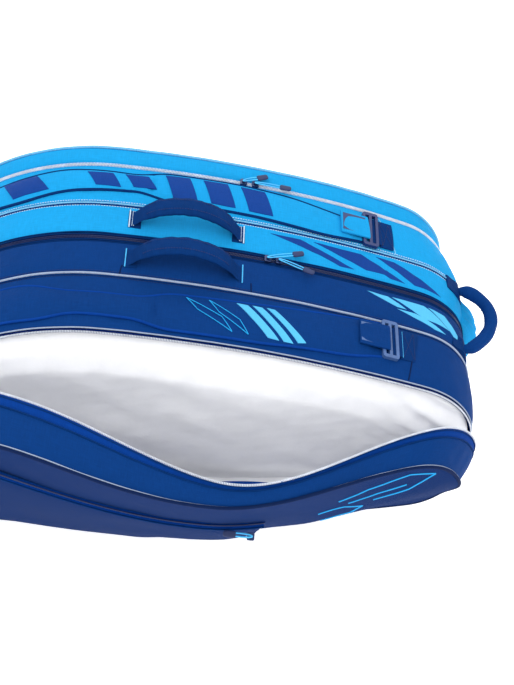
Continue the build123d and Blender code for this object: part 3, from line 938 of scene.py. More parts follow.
# ---------------------------------------------------------------- silver lining curtain
CURTAIN_TOP = FRONT_ZIP + 5.5 * MM
CURTAIN_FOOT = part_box("thermal_lining_wall")[1].y
low, high = ends(6 * MM)
x, z = face_grid(columns(low, high), 6 * MM, 80)
crown_z = outline_z(x, 6 * MM)[1]
depth = crown_z - z
drop = np.clip(depth / 0.31, 0, 1)
swell = 27 * MM * np.clip(depth / 0.05, 0, 1) ** 0.75 * (1 - np.clip((depth - 0.06) / 0.25, 0, 1)) ** 0.8
swell = swell * np.clip(edge_gap(x, z) / 0.03, 0, 1) ** 0.6
y = CURTAIN_TOP + (CURTAIN_FOOT - CURTAIN_TOP) * drop - swell
free = np.clip(edge_gap(x, z) / 0.025, 0, 1)
gathers = ripple(x, depth * 0.08, 41, 0.02, 9) * np.exp(-depth / 0.035) * 1.1 * MM
folds = ripple(x * 0.5 + z * 0.3, z, 42, 0.13, 7) * 3.0 * MM
satin = ripple(x, z, 43, 0.045, 9) * 0.7 * MM
corner = hill(x, 0.33, 0.06, 0.08) * np.sin((x * 1.0 + z * 1.6) * 2 * pi / 0.045) * 4 * MM
y = y + free * (folds + satin + gathers + corner)
curtain = slab(
    "thermal_lining_curtain",
    np.stack([x, y, z], -1),
    np.stack([x, y + 1.3 * MM, z], -1),
    silver_foil,
    np.stack([x, z], -1),
    smooth=60,
)
on_body(curtain, "main_body", "thermal_lining_wall")


floor_s = even(0.03, TROUGH.length - 0.03, 0.006)[:, None]
floor_y = np.linspace(FRONT_FACE + 10 * MM, CURTAIN_FOOT + 4 * MM, 24)[None]
floor_lift = -7.5 * MM + 0.5 * MM * ripple(floor_s, floor_y, 45, 0.05, 7)
floor_lining = slab(
    "thermal_lining_base",
    TROUGH.place(floor_s, floor_y, floor_lift - 1.3 * MM),
    TROUGH.place(floor_s, floor_y, floor_lift),
    silver_foil,
    np.stack(np.broadcast_arrays(floor_s, floor_y), -1),
    smooth=60,
)
on_body(floor_lining, "main_body", "thermal_lining_floor")


# ---------------------------------------------------------------- shoulder straps
def strap_edges(points, x):
    points = np.array(points, float) * MM
    knots = np.interp(x, points[:, 0], points[:, 1])
    kernel = np.ones(9) / 9
    soft = np.convolve(np.pad(knots, 4, mode="edge"), kernel, "valid")
    return soft


def strap(name, top, bottom, start, end, material, edge_material, channel, seed):
    """A flat padded strap on the crown between two edges given as (x, y) in millimetres."""
    x = even(start, end, 0.004)
    t, b = strap_edges(top, x), strap_edges(bottom, x)
    u = (1 - np.cos(np.linspace(0, pi, 15))) / 2
    y = b[:, None] + (t - b)[:, None] * u[None]
    across = np.abs(2 * u - 1)[None]
    s = ARCH.of_x(x)[:, None]
    seams = sum(hill(x, c, 0.004, 0.004) for c in channel)[:, None] if channel else 0
    closing = np.clip((end - x) / 0.03, 0.25, 1)[:, None]
    puffed = 4.4 * MM * (1 - across**2.6) * (1 - 0.75 * seams) * closing
    lift = 3.2 * MM + puffed + 0.5 * MM * ripple(s, y, seed, 0.05, 7) * (1 - across**4)
    outer = ARCH.place(s, y, lift)
    inner = ARCH.place(s, y, 1.6 * MM + 0 * lift)
    pad = slab(
        f"{name}_pad", outer, inner, material, np.stack(np.broadcast_arrays(s, y), -1),
    )
    edges = []
    for side, line in (("upper", t), ("lower", b)):
        path = ARCH.place(s[:, 0], line, 2.4 * MM)
        edges.append(tube(
            f"{name}_binding_{side}", path, 1.9 * MM, edge_material, up=(0, 1, 0),
            sides=10,
        ))
    return pad, edges


class StrapTop:
    """The upper surface of a strap, for prints on it."""

    def __init__(self, top, bottom, x0, x1):
        self.x = even(x0, x1, 0.004)
        self.t, self.b = strap_edges(top, self.x), strap_edges(bottom, self.x)

    def at(self, x, y, lift=0.0):
        t, b = np.interp(x, self.x, self.t), np.interp(x, self.x, self.b)
        across = np.clip(np.abs(2 * (y - b) / (t - b) - 1), 0, 1)
        s = ARCH.of_x(x)
        closing = np.clip((self.x[-1] - x) / 0.03, 0.25, 1)
        return ARCH.place(s, y, 3.2 * MM + 4.4 * MM * (1 - across**2.6) * closing + lift)


REAR_TOP = [
    (-300, 116), (-222, 124), (-181, 128), (-78, 123), (-56, 132), (49, 133), (120, 128), (178, 117),
    (217, 112),
]
REAR_LOW = [(-300, 82), (-231, 79), (-176, 90), (-74, 94), (-54, 83), (77, 81), (166, 74), (217, 78)]
FRONT_TOP = [(-300, -74), (-208, -70), (-158, -85), (-61, -86), (-37, -75), (60, -72), (237, -58)]
FRONT_LOW = [
    (-300, -124), (-182, -128), (-154, -119), (-68, -121), (-42, -132), (81, -131), (131, -126),
    (196, -122), (237, -111),
]
BUCKLES = {name: sum(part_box(f"{name}_strap_buckle"), Vector()) / 2 for name in ("front", "rear")}
for name, top, low_edge, body, fabric, binding, channel, seed in (
    ("front", FRONT_TOP, FRONT_LOW, "main_body", navy_fabric, royal_tape, (-0.05, 0.228), 61),
    ("rear", REAR_TOP, REAR_LOW, "rear_block", light_fabric, navy_web, (-0.066, 0.208), 62),
):
    end = float(top[-1][0]) * MM
    pad, edges = strap(f"{name}_strap", top, low_edge, -0.3, end, fabric, binding, channel, seed)
    bend = [tuple(ARCH.place(ARCH.of_x(v), BUCKLES[name].y, 0.0)) for v in (end - 0.09, end + 0.004)]
    for piece in [pad, *edges]:
        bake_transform(piece)
    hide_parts(f"{name}_strap")


def web(name, x0, x1, middle, width, lift, thick, material, slant=0.0):
    """A flat strip of webbing on the crown; slant shifts its far edge along the bag."""
    x = even(x0, x1, 0.003)[:, None]
    v = np.linspace(-1, 1, 9)[None, :]
    y = middle + v * width / 2
    s = ARCH.of_x(x + slant * v * (x > (x0 + x1) / 2))
    high = lift + thick * (1 - 0.35 * np.abs(v) ** 6) + 0 * s
    outer, inner = ARCH.place(s, y, high), ARCH.place(s, y, lift + 0 * high)
    return slab(name, outer, inner, material, np.stack(np.broadcast_arrays(s, y), -1))


for name, body, thread in (("front", "main_body", cyan_thread), ("rear", "rear_block", navy_thread)):
    end_fabric, end_slot = (navy_fabric, "navy_fabric") if name == "front" else (
        light_fabric, "light_blue_fabric",
    )
    low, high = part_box(f"{name}_strap_buckle")
    mid_y = (low.y + high.y) / 2
    centre_x = high.x - 11 * MM
    fold = web(
        f"{name}_strap_fold", centre_x - 43 * MM, centre_x - 3 * MM, mid_y, 38 * MM, 7.8 * MM, 3.4 * MM,
        end_fabric,
    )
    on_body(fold, f"{name}_strap_buckle")
    ribbon = web(
        f"{name}_strap_ribbon", centre_x + 2 * MM, centre_x + 15 * MM, mid_y, 44 * MM, 4.6 * MM,
        1.6 * MM, navy_web,
    )
    start, end = (tuple(ARCH.place(ARCH.of_x(v), mid_y, 0.0)) for v in (
        centre_x + 13 * MM, centre_x + 3 * MM,
    ))
    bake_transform(ribbon)
    patch = web(
        f"{name}_strap_patch", centre_x + 13 * MM, centre_x + 35 * MM, mid_y, 48 * MM, 2.2 * MM,
        1.8 * MM, navy_web, 3 * MM,
    )
    on_body(patch, body, f"{name}_strap_webbing")
    rows = []
    for x in (centre_x + 16 * MM, centre_x + 32 * MM):
        y = np.linspace(mid_y - 21 * MM, mid_y + 21 * MM, 30)
        rows.append(ARCH.place(ARCH.of_x(x), y, 4.2 * MM))
    for sign in (-1, 1):
        y = np.linspace(-20 * MM, 20 * MM, 30)
        x = centre_x + 24 * MM + sign * y * 7 / 20
        rows.append(ARCH.place(ARCH.of_x(x), mid_y + y, 4.2 * MM))
    on_body(stitched(f"{name}_strap_patch_stitch", rows[1:], navy_thread, "navy_fabric"), body)
    on_body(
        stitched(
            f"{name}_strap_bar_stitch", rows[:1], thread, "navy_fabric", pitch=1.6 * MM,
            length=1.8 * MM, width=1.6 * MM,
        ),
        body,
    )


# ---------------------------------------------------------------- carry handles
RISE, SPAN, PIVOT = 28 * MM, 129 * MM, 8 * MM
HANDLE_X = -17 * MM
BOW_R = ((SPAN / 2) ** 2 + RISE**2) / (2 * RISE)
BOW_TURN = asin(SPAN / 2 / BOW_R)
HANDLES = {"front": (-24 * MM, "main_body"), "rear": (44 * MM, "rear_block")}


def handle_frame():
    """Origin on the crown, the direction along it and the direction out of the bag."""
    p, n = ARCH.at(ARCH.of_x(HANDLE_X))
    return np.array([p[0], 0, p[1]]), np.array([n[1], 0, -n[0]]), np.array([n[0], 0, n[1]])


def grab_handle(name, y, body):
    origin, along, out = handle_frame()
    theta = np.linspace(-BOW_TURN, BOW_TURN, 90)
    x = BOW_R * np.sin(theta)
    h = PIVOT + RISE - BOW_R + BOW_R * np.cos(theta)
    flat = even(-SPAN / 2 - 9.5 * MM, -SPAN / 2 - 1 * MM, 0.002)
    x = np.r_[flat, x, -flat[::-1]]
    rise = 2.2 * MM + 0 * flat
    h = np.r_[rise, np.maximum(h, 2.2 * MM), rise]
    kernel = np.ones(7) / 7
    h = np.convolve(np.pad(h, 3, mode="edge"), kernel, "valid")
    x = np.convolve(np.pad(x, 3, mode="edge"), kernel, "valid")
    sag = -(x**2) / (2 * CROWN_R)
    path = origin + along * x[:, None] + out * (h + sag)[:, None] + np.array([0, y, 0])
    tangent = np.gradient(path, axis=0)
    tangent /= np.linalg.norm(tangent, axis=1, keepdims=True)
    side = np.array([0.0, 1.0, 0.0])
    up = np.cross(side, tangent) * -1
    up /= np.linalg.norm(up, axis=1, keepdims=True)
    if up[len(up) // 2] @ out < 0:
        up = -up
    run = np.linspace(-1, 1, len(x))
    full = np.clip((0.86 - np.abs(run)) / 0.34, 0, 1)
    full = full * full * (3 - 2 * full)
    half_width = 12.2 * MM + 2.2 * MM * full
    thick_up = 1.2 * MM + 4.6 * MM * full
    thick_down = 1.2 * MM + 3.2 * MM * full
    angle = np.linspace(0, 2 * pi, 28, endpoint=False)
    c, w = np.cos(angle), np.sin(angle)
    c = np.sign(c) * np.abs(c) ** 0.8
    rows = path[:, None] + side * (c[None, :, None] * half_width[:, None, None])
    lift = np.where(w[None] > 0, w[None] * thick_up[:, None], w[None] * thick_down[:, None])
    lift = lift + full[:, None] * 0.7 * MM * ripple(run[:, None] * 0.1, c[None] * 0.012, 70, 0.02, 8)
    rows = rows + up[:, None] * lift[..., None]
    step = np.r_[0, np.cumsum(np.linalg.norm(np.diff(path, axis=0), axis=1))]
    cloth = np.stack(np.broadcast_arrays(step[:, None], (c * 0.013)[None]), -1)
    piece = loft(f"{name}_handle_grip", rows, navy_web, cloth, 60)
    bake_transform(piece)
    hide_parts(f"{name}_grab_handle")

    seam = []
    for edge in (-0.55, 0.55):
        seam.append(path + side * edge * half_width[:, None] + up * (thick_up * 0.93 + 0.1 * MM)[:, None])
    keep = slice(16, -16)
    for index, line in enumerate(seam):
        thread = stitched(
            f"{name}_handle_stitch_{index}", [line[keep]], navy_thread, "navy_fabric", up=tuple(out),
        )
        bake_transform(thread)

    for sign in (-1, 1):
        anchor_patch(
            f"{name}_handle_anchor_{'left' if sign < 0 else 'right'}", sign, y, body,
        )
    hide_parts(f"{name}_handle_anchors")
    rows = []
    for sign in (-1, 1):
        x = HANDLE_X + sign * (SPAN / 2 + 9 * MM)
        rows.append(ARCH.place(ARCH.of_x(x), y + np.linspace(-15 * MM, 15 * MM, 30), 3.6 * MM))
    colour = cyan_thread if name == "front" else white_thread
    on_body(
        stitched(
            f"{name}_handle_bar_tack", rows, colour, "navy_fabric", pitch=1.5 * MM, length=1.7 * MM,
            width=1.7 * MM, height=1.2 * MM,
        ),
        body,
    )
    if name == "rear":
        rows = []
        for sign in (-1, 1):
            for out_by in (3.5, 5.5):
                x = HANDLE_X + sign * (SPAN / 2 + out_by * MM)
                rows.append(ARCH.place(ARCH.of_x(x), y + np.linspace(-13 * MM, 13 * MM, 26), 3.7 * MM))
        on_body(
            stitched(
                "rear_handle_double_bar", rows, white_thread, "navy_fabric", pitch=2.4 * MM,
                length=1.9 * MM,
            ),
            body,
        )


def anchor_patch(name, sign, y, body):
    """The sewn-down end of a handle's webbing."""
    x = HANDLE_X + sign * np.linspace(SPAN / 2 - 6 * MM, SPAN / 2 + 10.5 * MM, 10)
    v = np.linspace(-1, 1, 9)
    s, yy = ARCH.of_x(x)[:, None], (y + v * 14.5 * MM)[None]
    lift = 2.6 * MM - 0.5 * MM * np.abs(v[None]) ** 6 + 0 * s
    outer, inner = ARCH.place(s, yy, lift), ARCH.place(s, yy, 0.8 * MM + 0 * lift)
    return on_body(
        slab(name, outer, inner, navy_web, np.stack(np.broadcast_arrays(s, yy), -1)),
        body,
    )


for name, (y, body) in HANDLES.items():
    grab_handle(name, y, body)

# ---------------------------------------------------------------- end handle
END_LOW, END_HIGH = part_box("end_handle")
END_Z = (END_LOW.z + END_HIGH.z) / 2
TABS = {side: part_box(f"end_handle_{side}_tab") for side in ("front", "rear")}
tab_y = {side: (lo.y + hi.y) / 2 for side, (lo, hi) in TABS.items()}
swing = Vector(next(j["pos_m"] for j in frame["joints"] if j["name"] == "end_handle_swing"))
out_x = END_HIGH.x - 9 * MM
route = [
    (swing.x - 8 * MM, tab_y["rear"] + 1 * MM, END_Z - 4 * MM),
    (swing.x + 2 * MM, tab_y["rear"] + 1 * MM, END_Z),
    (swing.x + 16 * MM, tab_y["rear"] - 3 * MM, END_Z + 1 * MM),
    (out_x - 6 * MM, tab_y["rear"] - 18 * MM, END_Z),
    (out_x, tab_y["rear"] - 36 * MM, END_Z),
    (out_x - 1 * MM, 5 * MM, END_Z),
    (out_x - 14 * MM, tab_y["front"] + 18 * MM, END_Z),
    (swing.x + 10 * MM, tab_y["front"] + 3 * MM, END_Z),
    (swing.x + 2 * MM, tab_y["front"] - 1 * MM, END_Z),
    (swing.x - 8 * MM, tab_y["front"] - 1 * MM, END_Z - 4 * MM),
]
path, run = spline(route, 120)
t = np.linspace(-1, 1, len(path))
fat = np.clip((0.97 - np.abs(t)) / 0.2, 0, 1)
radius = 5.5 * MM + 3.4 * MM * fat * fat * (3 - 2 * fat)
tangent, side, lift = frames(path, np.array([0.0, 0, 1]))
angle = np.linspace(0, 2 * pi, 30, endpoint=False)
inward = np.array([END_LOW.x, (tab_y["front"] + tab_y["rear"]) / 2, END_Z]) - path
inward /= np.linalg.norm(inward, axis=1, keepdims=True)
ring = np.cos(angle)[None, :, None] * side[:, None] + np.sin(angle)[None, :, None] * lift[:, None]
inner = np.clip(np.einsum("ijk,ik->ij", ring, inward), 0, 1)
bend = np.linalg.norm(np.gradient(tangent, axis=0), axis=1)
bend = np.convolve(np.pad(bend, 5, mode="edge"), np.ones(11) / 11, "valid")
crease = np.abs(np.sin(t * run / 2 * 2 * pi / 0.0125)) ** 0.7
wrinkle = inner * (bend / bend.max())[:, None] * crease[:, None] * 1.5 * MM
loose = 0.5 * MM * ripple(t[:, None] * run / 2, angle[None] * 0.009, 75, 0.03, 8)
rows = path[:, None] + ring * (radius[:, None] - wrinkle + loose)[..., None]
cloth = np.stack(np.broadcast_arrays((t * run / 2)[:, None], angle[None] * 0.009), -1)
grip = loft("end_handle_grip", rows, navy_fabric, cloth, 60)
on_body(grip, "end_handle", "end_handle")
for side_name, (lo, hi) in TABS.items():
    mid = (lo.y + hi.y) / 2
    z_line = np.linspace(lo.z, hi.z, 16)
    s_tab = end_s(z_line)[::-1][:, None]
    yy = (mid + np.linspace(-1, 1, 11) * 11 * MM)[None]
    v = np.linspace(-1, 1, 16)[:, None]
    high = 2.6 * MM + 3.2 * MM * np.exp(-((v / 0.4) ** 2)) + 0 * yy
    outer, inner_face = ARCH.place(s_tab, yy, high), ARCH.place(s_tab, yy, -1 * MM + 0 * high)
    patch = slab(
        f"end_handle_patch_{side_name}", outer, inner_face, navy_web,
        np.stack(np.broadcast_arrays(s_tab, yy), -1),
    )
    on_body(patch, "main_body" if side_name == "front" else "rear_block", f"end_handle_{side_name}_tab")

# ---------------------------------------------------------------- pulls
PULL_LIFT, PULL_RISE = 4.9 * MM, radians(6)


def crown_place(x, y):
    p, n = ARCH.at(ARCH.of_x(x))
    along = np.array([n[1], 0, -n[0]])
    out = np.array([n[0], 0, n[1]])
    return np.array([p[0], y, p[1]]), along, np.array([0.0, 1, 0]), out


def pull_tab(name, place, turn, body, node, reach=20, tag=tag_rubber, cord=cyan_thread, bulk=1.0):
    """A looped cord through the slider's lug and a rubber tag on its end."""
    origin, along, across, out = place
    a = along * cos(turn) + across * sin(turn)
    b = np.cross(out, a)
    a = a * cos(PULL_RISE) + out * sin(PULL_RISE)
    c = np.cross(a, b)
    origin = origin + out * PULL_LIFT

    def at(u, v, w=0.0):
        return origin + a * u * MM + b * v * MM + c * w * MM

    half = [(reach + 1, 1.8, 0.0), (0.7 * reach, 2.2, 0.4), (0.3 * reach, 1.9, 0.6), (0.0, 1.2, 0.0)]
    loop = [at(*p) for p in half] + [at(-2.2, 0)] + [at(u, -v, w) for u, v, w in half[::-1]]
    line, _ = spline(loop, 60)
    strand = tube(f"{name}_cord", line, 0.8 * MM * bulk, cord, up=tuple(out), sides=8)
    on_body(strand, body, node)
    rows = []
    for k in np.linspace(-1, 1, 22):
        x = reach + 6 + 8 * k
        half = 4.5 * (1 - abs(k) ** 7) ** 0.5 * (1 - 0.14 * (k + 1) / 2) + 0.05
        thick = 1.5 * (1 - abs(k) ** 9) ** 0.5 * (1 - 0.25 * (1 - abs(k)) * 0.8) + 0.05
        section = []
        for phi in np.linspace(0, 2 * pi, 20, endpoint=False):
            sx, sy = np.cos(phi), np.sin(phi)
            section.append(at(x, half * np.sign(sx) * abs(sx) ** 0.5, thick * np.sign(sy) * abs(sy) ** 0.6))
        rows.append(section)
    on_body(loft(f"{name}_tag", np.array(rows), tag, None, 50), body)


for name, x, y, turn, reach in (
    ("rear_zip_pull_left", 54, REAR_ZIP, 20, 20),
    ("rear_zip_pull_right", 70, REAR_ZIP, -6, 34),
    ("middle_zip_pull_left", 89, MIDDLE_ZIP, 16, 34),
    ("middle_zip_pull_right", 104, MIDDLE_ZIP, -22, 34),
):
    pull_tab(name, crown_place(x * MM, y), radians(turn), name, name, reach)
pivot = np.array(next(j["pos_m"] for j in frame["joints"] if j["name"] == "front_pull_swing"))
out = np.array([cos(GRIP_LEAN), 0, -sin(GRIP_LEAN)])
down = np.array([-sin(GRIP_LEAN), 0, -cos(GRIP_LEAN)])
pull_tab(
    "front_pull", (pivot - out * PULL_LIFT, down, np.array([0.0, 1, 0]), out), 0.0,
    "front_zip_pull", "front_zip_pull",
    tag=plastic("cyan_tip", srgb(30, 160, 225), 0.5),
)

# ---------------------------------------------------------------- pocket on the front cover
POCKET_LOW_X, POCKET_HIGH_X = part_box("front_pocket_panel")[0].x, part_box("front_pocket_panel")[1].x
POCKET_Z0, POCKET_Z1 = 38 * MM, 232 * MM
x = columns(POCKET_LOW_X, POCKET_HIGH_X)
v = (1 - np.cos(np.linspace(0, pi, 30))) / 2
corner_round = 30 * MM
side_gap = np.minimum(x - POCKET_LOW_X, POCKET_HIGH_X - x)
foot_z = POCKET_Z0 + corner_round - np.sqrt(np.maximum(
    corner_round**2 - np.maximum(corner_round - side_gap, 0) ** 2, 0,
))
z = foot_z[:, None] + (POCKET_Z1 - foot_z)[:, None] * v[None]
x = np.broadcast_to(x[:, None], z.shape)
side = np.minimum(x - POCKET_LOW_X, POCKET_HIGH_X - x)
rim = np.minimum(np.minimum(side, z - foot_z[:, None]), POCKET_Z1 - z + 6 * MM)
swell = 4.5 * MM + 8.5 * MM * (1 - np.exp(-np.maximum(rim, 0) / 0.022)) + 1.2 * MM * ripple(x, z, 81, 0.12, 7)
swell = swell * np.clip(rim / 0.004, 0.3, 1)
face = FRONT_FACE - 5.5 * MM
pocket_front = lean(settle(np.stack([x, face - swell * 0.8, z], -1)))
pocket_back = lean(settle(np.stack([x, face + 3 * MM + 0 * x, z], -1)))
pocket = slab(
    "front_pocket_pouch", pocket_front, pocket_back, ink_fabric,
    np.stack([x, z], -1),
)
on_cover(pocket, "left", "front_pocket_panel")
line_x = even(POCKET_LOW_X + 3 * MM, POCKET_HIGH_X - 3 * MM, 0.004)


def pocket_run(dy, dz):
    return lean(settle(np.stack(
        [line_x, FRONT_FACE - dy * MM + 0 * line_x, POCKET_Z1 + dz * MM + 0 * line_x], -1,
    )))


band_y = np.linspace(-13.0, -4.0, 5)
band = np.stack([pocket_run(-dy, 2.4) for dy in band_y], 1)
under = np.stack([pocket_run(-dy, 0.6) for dy in band_y], 1)
zip_band = slab(
    "front_pocket_zip_band", band, under, royal_tape,
    np.stack(np.broadcast_arrays(line_x[:, None], band_y[None] * MM), -1),
)
on_cover(zip_band, "left", "front_pocket_zip")
for index, (dy, dz, radius) in enumerate(((8.5, 3.2, 1.1), (13.2, 2.2, 1.2), (4.6, 2.4, 1.0))):
    cord_line = tube(
        f"front_pocket_zip_line_{index}", pocket_run(dy, dz), radius * MM,
        navy_coil if index == 0 else navy_web, up=(0, 1, 0), sides=8,
    )
    on_cover(cord_line, "left")
pocket_pivot = np.array(next(j["pos_m"] for j in frame["joints"] if j["name"] == "pocket_pull_swing"))
tilt = radians(28)
cover_out = np.array([0, -sin(tilt), cos(tilt)])
pull_tab(
    "pocket_pull",
    (
        pocket_pivot - cover_out * PULL_LIFT, np.array([-1.0, 0, 0]),
        np.array([0, -cos(tilt), -sin(tilt)]), cover_out,
    ),
    0.0, "pocket_zip_pull", "pocket_zip_pull", bulk=1.3,
)

# ---------------------------------------------------------------- ribbed end pocket
pouch_s = end_s(np.linspace(232 * MM, 118 * MM, 60))[:, None]
POUCH_LOW, POUCH_HIGH = MIDDLE_ZIP + 6 * MM, REAR_SEAM - 4 * MM
y = (POUCH_LOW + (POUCH_HIGH - POUCH_LOW) * (1 - np.cos(np.linspace(0, pi, 41))) / 2)[None]
u = 2 * (y - POUCH_LOW) / (POUCH_HIGH - POUCH_LOW) - 1
w = np.linspace(0, 1, 60)[:, None]
height = (
    19 * MM
    * (1 - u**4) ** 0.7
    * (np.clip(w / 0.3, 0, 1) ** 0.6)
    * (1 - np.clip((w - 0.7) / 0.3, 0, 1) ** 2) ** 0.7
)
ribs = 1.5 * MM * np.cos(u * 3.5 * pi) * (1 - u**6)
lift = 0.8 * MM + np.maximum(height + ribs * np.clip(height / (8 * MM), 0, 1), 0)
outer, inner = ARCH.place(pouch_s, y, lift), ARCH.place(pouch_s, y, 0.1 * MM + 0 * lift)
pouch = slab(
    "end_pouch", outer, inner, light_fabric,
    np.stack(np.broadcast_arrays(pouch_s, y), -1),
)
on_body(pouch, "rear_block")

# ---------------------------------------------------------------- seams across the strips
SEAMS = [
    ("rear_gusset", [(266, 74), (250, 132)], pale_cord, "light_blue_fabric", "rear_block"),
    ("front_gusset", [(286, -56), (273, -136)], dark_cord, "navy_fabric", "main_body"),
    ("middle_front_gusset", [(-94, -36), (-96, -49)], dark_cord, "navy_fabric", "main_body"),
    ("middle_front_gusset", [(68, -37), (69, -49)], dark_cord, "navy_fabric", "main_body"),
]
for index, (node, points, material, slot, body) in enumerate(SEAMS):
    line = line_on(STRIPS[node], np.array(points) * MM, lift=0.1 * MM)
    on_body(tube(f"cross_seam_{index}", line, 0.8 * MM, material, sides=8), body)

# ---------------------------------------------------------------- printed shapes
PRINTS = [
    ("middle_rear_gusset", dark_print, "rear_block", [
        [(92, 57), (132, 57), (172, 40), (160, 36)],
        [(150, 58), (215, 56), (262, 30), (222, 30)],
        [(205, 26), (186, 26), (150, 40), (168, 42)],
        [(236, 58), (262, 57), (330, 26), (290, 27)],
        [(276, 25), (256, 26), (232, 37), (250, 38)],
    ]),
    ("middle_front_gusset", pale_print, "main_body", [
        [(222, -6), (250, -7), (275, -22), (262, -22)],
        [(256, -6), (300, -7), (336, -30), (300, -30)],
        [(306, -8), (330, -9), (357, -32), (343, -34)],
        [(262, -25), (288, -25), (330, -40), (314, -41)],
    ]),
]
for node, material, body, quads in PRINTS:
    for index, quad in enumerate(quads):
        outer, inner, flat = decal(STRIPS[node], np.array(quad) * MM)
        piece = slab(
            f"{node}_print_{index}", outer, inner, material,
            flat,
        )
        on_body(piece, body)

FRONT_PAD = StrapTop(FRONT_TOP, FRONT_LOW, -0.3, 0.237)
REAR_PAD = StrapTop(REAR_TOP, REAR_LOW, -0.3, 0.217)
PAD_PRINTS = [
    ("front", FRONT_PAD, pale_print, "light_blue_fabric", [
        [(50, -76), (64, -77), (104, -124), (90, -123)],
        [(70, -76), (82, -77), (122, -124), (110, -124)],
        [(88, -76), (98, -77), (138, -120), (128, -122)],
    ]),
    ("rear", REAR_PAD, dark_print, "dark_navy_fabric", [
        [(-256, 118), (-214, 121), (-196, 92), (-240, 86)],
        [(-150, 120), (-118, 119), (-106, 96), (-138, 97)],
        [(-102, 119), (-72, 119), (-60, 98), (-90, 98)],
        [(-50, 127), (-18, 128), (-6, 88), (-38, 88)],
        [(0, 128), (32, 128), (44, 87), (12, 88)],
        [(50, 127), (82, 126), (94, 85), (62, 86)],
    ]),
]
for name, pad, material, slot, quads in PAD_PRINTS:
    for index, quad in enumerate(quads):
        outer, inner, flat = decal(pad, np.array(quad) * MM, 0.9 * MM, 1.6 * MM)
        on_body(
            slab(f"{name}_strap_print_{index}", outer, inner, material, flat),
            "main_body" if name == "front" else "rear_block",
        )
OUTLINES = [
    [(-12, -80), (2, -98), (46, -124), (32, -104), (-12, -80)],
    [(16, -79), (28, -97), (66, -124), (54, -104), (16, -79)],
]
for index, points in enumerate(OUTLINES):
    line = line_on(FRONT_PAD, np.array(points) * MM, 90, 0.8 * MM)
    on_body(
        tube(f"front_strap_outline_{index}", line, 0.6 * MM, cyan_print, sides=6),
        "main_body",
    )

FACE_LINES = [
    [(196, 250), (232, 268), (290, 276), (330, 262), (300, 236), (250, 226)],
    [(212, 236), (250, 246), (292, 250)],
    [(176, 214), (210, 222), (238, 212), (226, 190), (186, 176)],
]


def on_face(points, lift):
    points = np.array(points, float) * MM
    run = np.r_[0, np.cumsum(np.hypot(*np.diff(points, axis=0).T))]
    t = np.linspace(0, run[-1], 120)
    x, z = np.interp(t, run, points[:, 0]), np.interp(t, run, points[:, 1])
    return lean(settle(np.stack([x, FRONT_FACE - puff(x, z, 6 * MM, 20) - lift, z], -1)))


for index, points in enumerate(FACE_LINES):
    piece = tube(
        f"front_face_outline_{index}", on_face(points, 0.2 * MM), 1.3 * MM, cyan_print,
        up=(0, 1, 0), sides=8, flat=0.5,
    )
    on_cover(piece, "right")

# ---------------------------------------------------------------- thread along the seams
for name, node, body, offsets, thread in (
    ("rear_gusset", "rear_gusset", "rear_block", (2.2,), white_thread),
    ("middle_rear", "middle_rear_gusset", "rear_block", (-2.2,), white_thread),
    ("middle_front", "middle_front_gusset", "main_body", (2.4,), navy_thread),
    ("front_gusset", "front_gusset", "main_body", (-2.4,), navy_thread),
):
    strip = STRIPS[node]
    rows = []
    for offset in offsets:
        y = (strip.low if offset > 0 else strip.high) + offset * MM
        s = even(0.02, ARCH.length - 0.02, 0.01)
        rows.append(ARCH.place(s, y, strip.lift(s, y) + 0.1 * MM))
    blocks = []
    for row in rows:
        blocks.append(stitch_blocks(row, np.array([0.05, 0.02, 1.0])))
    on_body(many(f"{name}_seam_thread", np.concatenate(blocks), BAR, thread), body)

# ---------------------------------------------------------------- carried-over CAD nodes
FINISH = {
    "front_divider": navy_fabric, "rear_divider": navy_fabric, "front_base_board": board_plastic,
    "middle_base_board": board_plastic, "rear_base_board": board_plastic, "thermal_lining_floor": silver_foil,
    "front_strap_buckle": buckle_painted_highlight, "rear_strap_buckle": buckle_navy,
}
plain_lining = woven("grey_lining_flat", srgb(70, 78, 92), pitch=0.9 * MM, cloth=False)
plain_navy = woven("navy_weave_flat", NAVY, cloth=False)
for node, obj in NODES.items():
    if obj.hide_render:
        continue
    finish = FINISH.get(node, lacquer if "slider" in node else plain_lining)
    if finish == navy_fabric:
        finish = plain_navy
    obj.data.materials.clear()
    obj.data.materials.append(finish)
    for polygon in obj.data.polygons:
        polygon.use_smooth = True
    obj.data.set_sharp_from_angle(angle=radians(35))

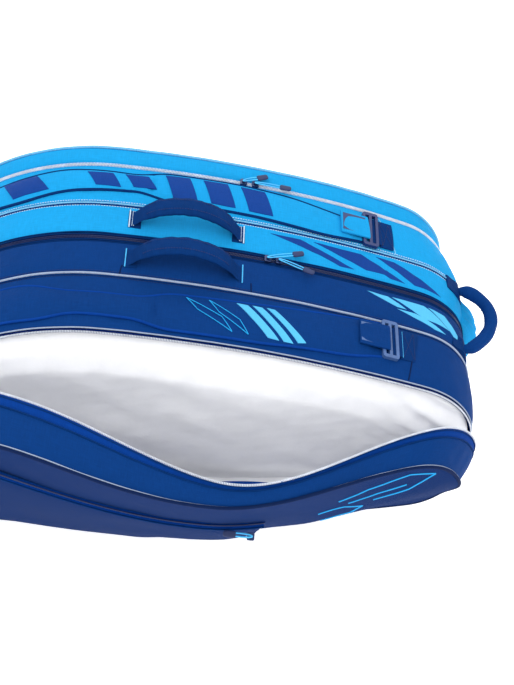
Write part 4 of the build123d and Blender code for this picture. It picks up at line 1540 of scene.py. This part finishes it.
# ---------------------------------------------------------------- floor, light and camera
floor_mesh = bpy.data.meshes.new("floor")
wide = 14.0
floor_mesh.from_pydata(
    [(-wide, -wide, 0), (wide, -wide, 0), (wide, wide, 0), (-wide, wide, 0)], [], [(0, 1, 2, 3)],
)
floor = bpy.data.objects.new("floor", floor_mesh)
paper = Shader("floor_paper")
grain = paper.noise(paper.node("ShaderNodeTexCoord").outputs["Object"], 60, 3)
paper.link(paper.mix(grain, srgb(250, 250, 250), srgb(254, 254, 254)), "Base Color")
paper.set(Roughness=0.9, Specular_IOR_Level=0.1, Emission_Color=(1, 1, 1, 1), Emission_Strength=0.7)
floor_mesh.materials.append(paper.mat)
bpy.context.scene.collection.objects.link(floor)

world = bpy.data.worlds.new("studio")
world.use_nodes = True
world.node_tree.nodes["Background"].inputs[0].default_value = (0.97, 0.985, 1.0, 1)
world.node_tree.nodes["Background"].inputs[1].default_value = 0.95
bpy.context.scene.world = world


def area(name, place, aim, size, power):
    data = bpy.data.lights.new(name, "AREA")
    data.shape, data.size, data.size_y, data.energy = "RECTANGLE", size[0], size[1], power
    lamp = bpy.data.objects.new(name, data)
    lamp.location = place
    lamp.rotation_euler = (Vector(aim) - Vector(place)).to_track_quat("-Z", "Y").to_euler()
    bpy.context.scene.collection.objects.link(lamp)


area("key", (-0.9, -0.7, 2.4), (0, 0, 0.15), (1.6, 1.2), 26)
area("fill", (1.9, -1.5, 1.5), (0, 0, 0.15), (1.4, 1.4), 12)
area("back", (0.3, 2.1, 1.8), (0, 0, 0.2), (2.2, 1.0), 16)

AZIMUTH, ELEVATION, DISTANCE, ROLL = radians(-9.32), radians(49.81), 1.8826, radians(13.54)
AIM = Vector((0.0991, 0.0, 0.1687))
back = Vector((sin(AZIMUTH) * cos(ELEVATION), -cos(AZIMUTH) * cos(ELEVATION), sin(ELEVATION)))
data = bpy.data.cameras.new("camera")
data.lens, data.sensor_width, data.sensor_fit = 72.93, 36, "AUTO"
camera = bpy.data.objects.new("camera", data)
turn = (-back).to_track_quat("-Z", "Y").to_matrix() @ Matrix.Rotation(ROLL, 3, "Z")
camera.matrix_world = Matrix.Translation(AIM + back * DISTANCE) @ turn.to_4x4()
bpy.context.scene.collection.objects.link(camera)
bpy.context.scene.camera = camera
bpy.context.scene.view_settings.view_transform = "Standard"
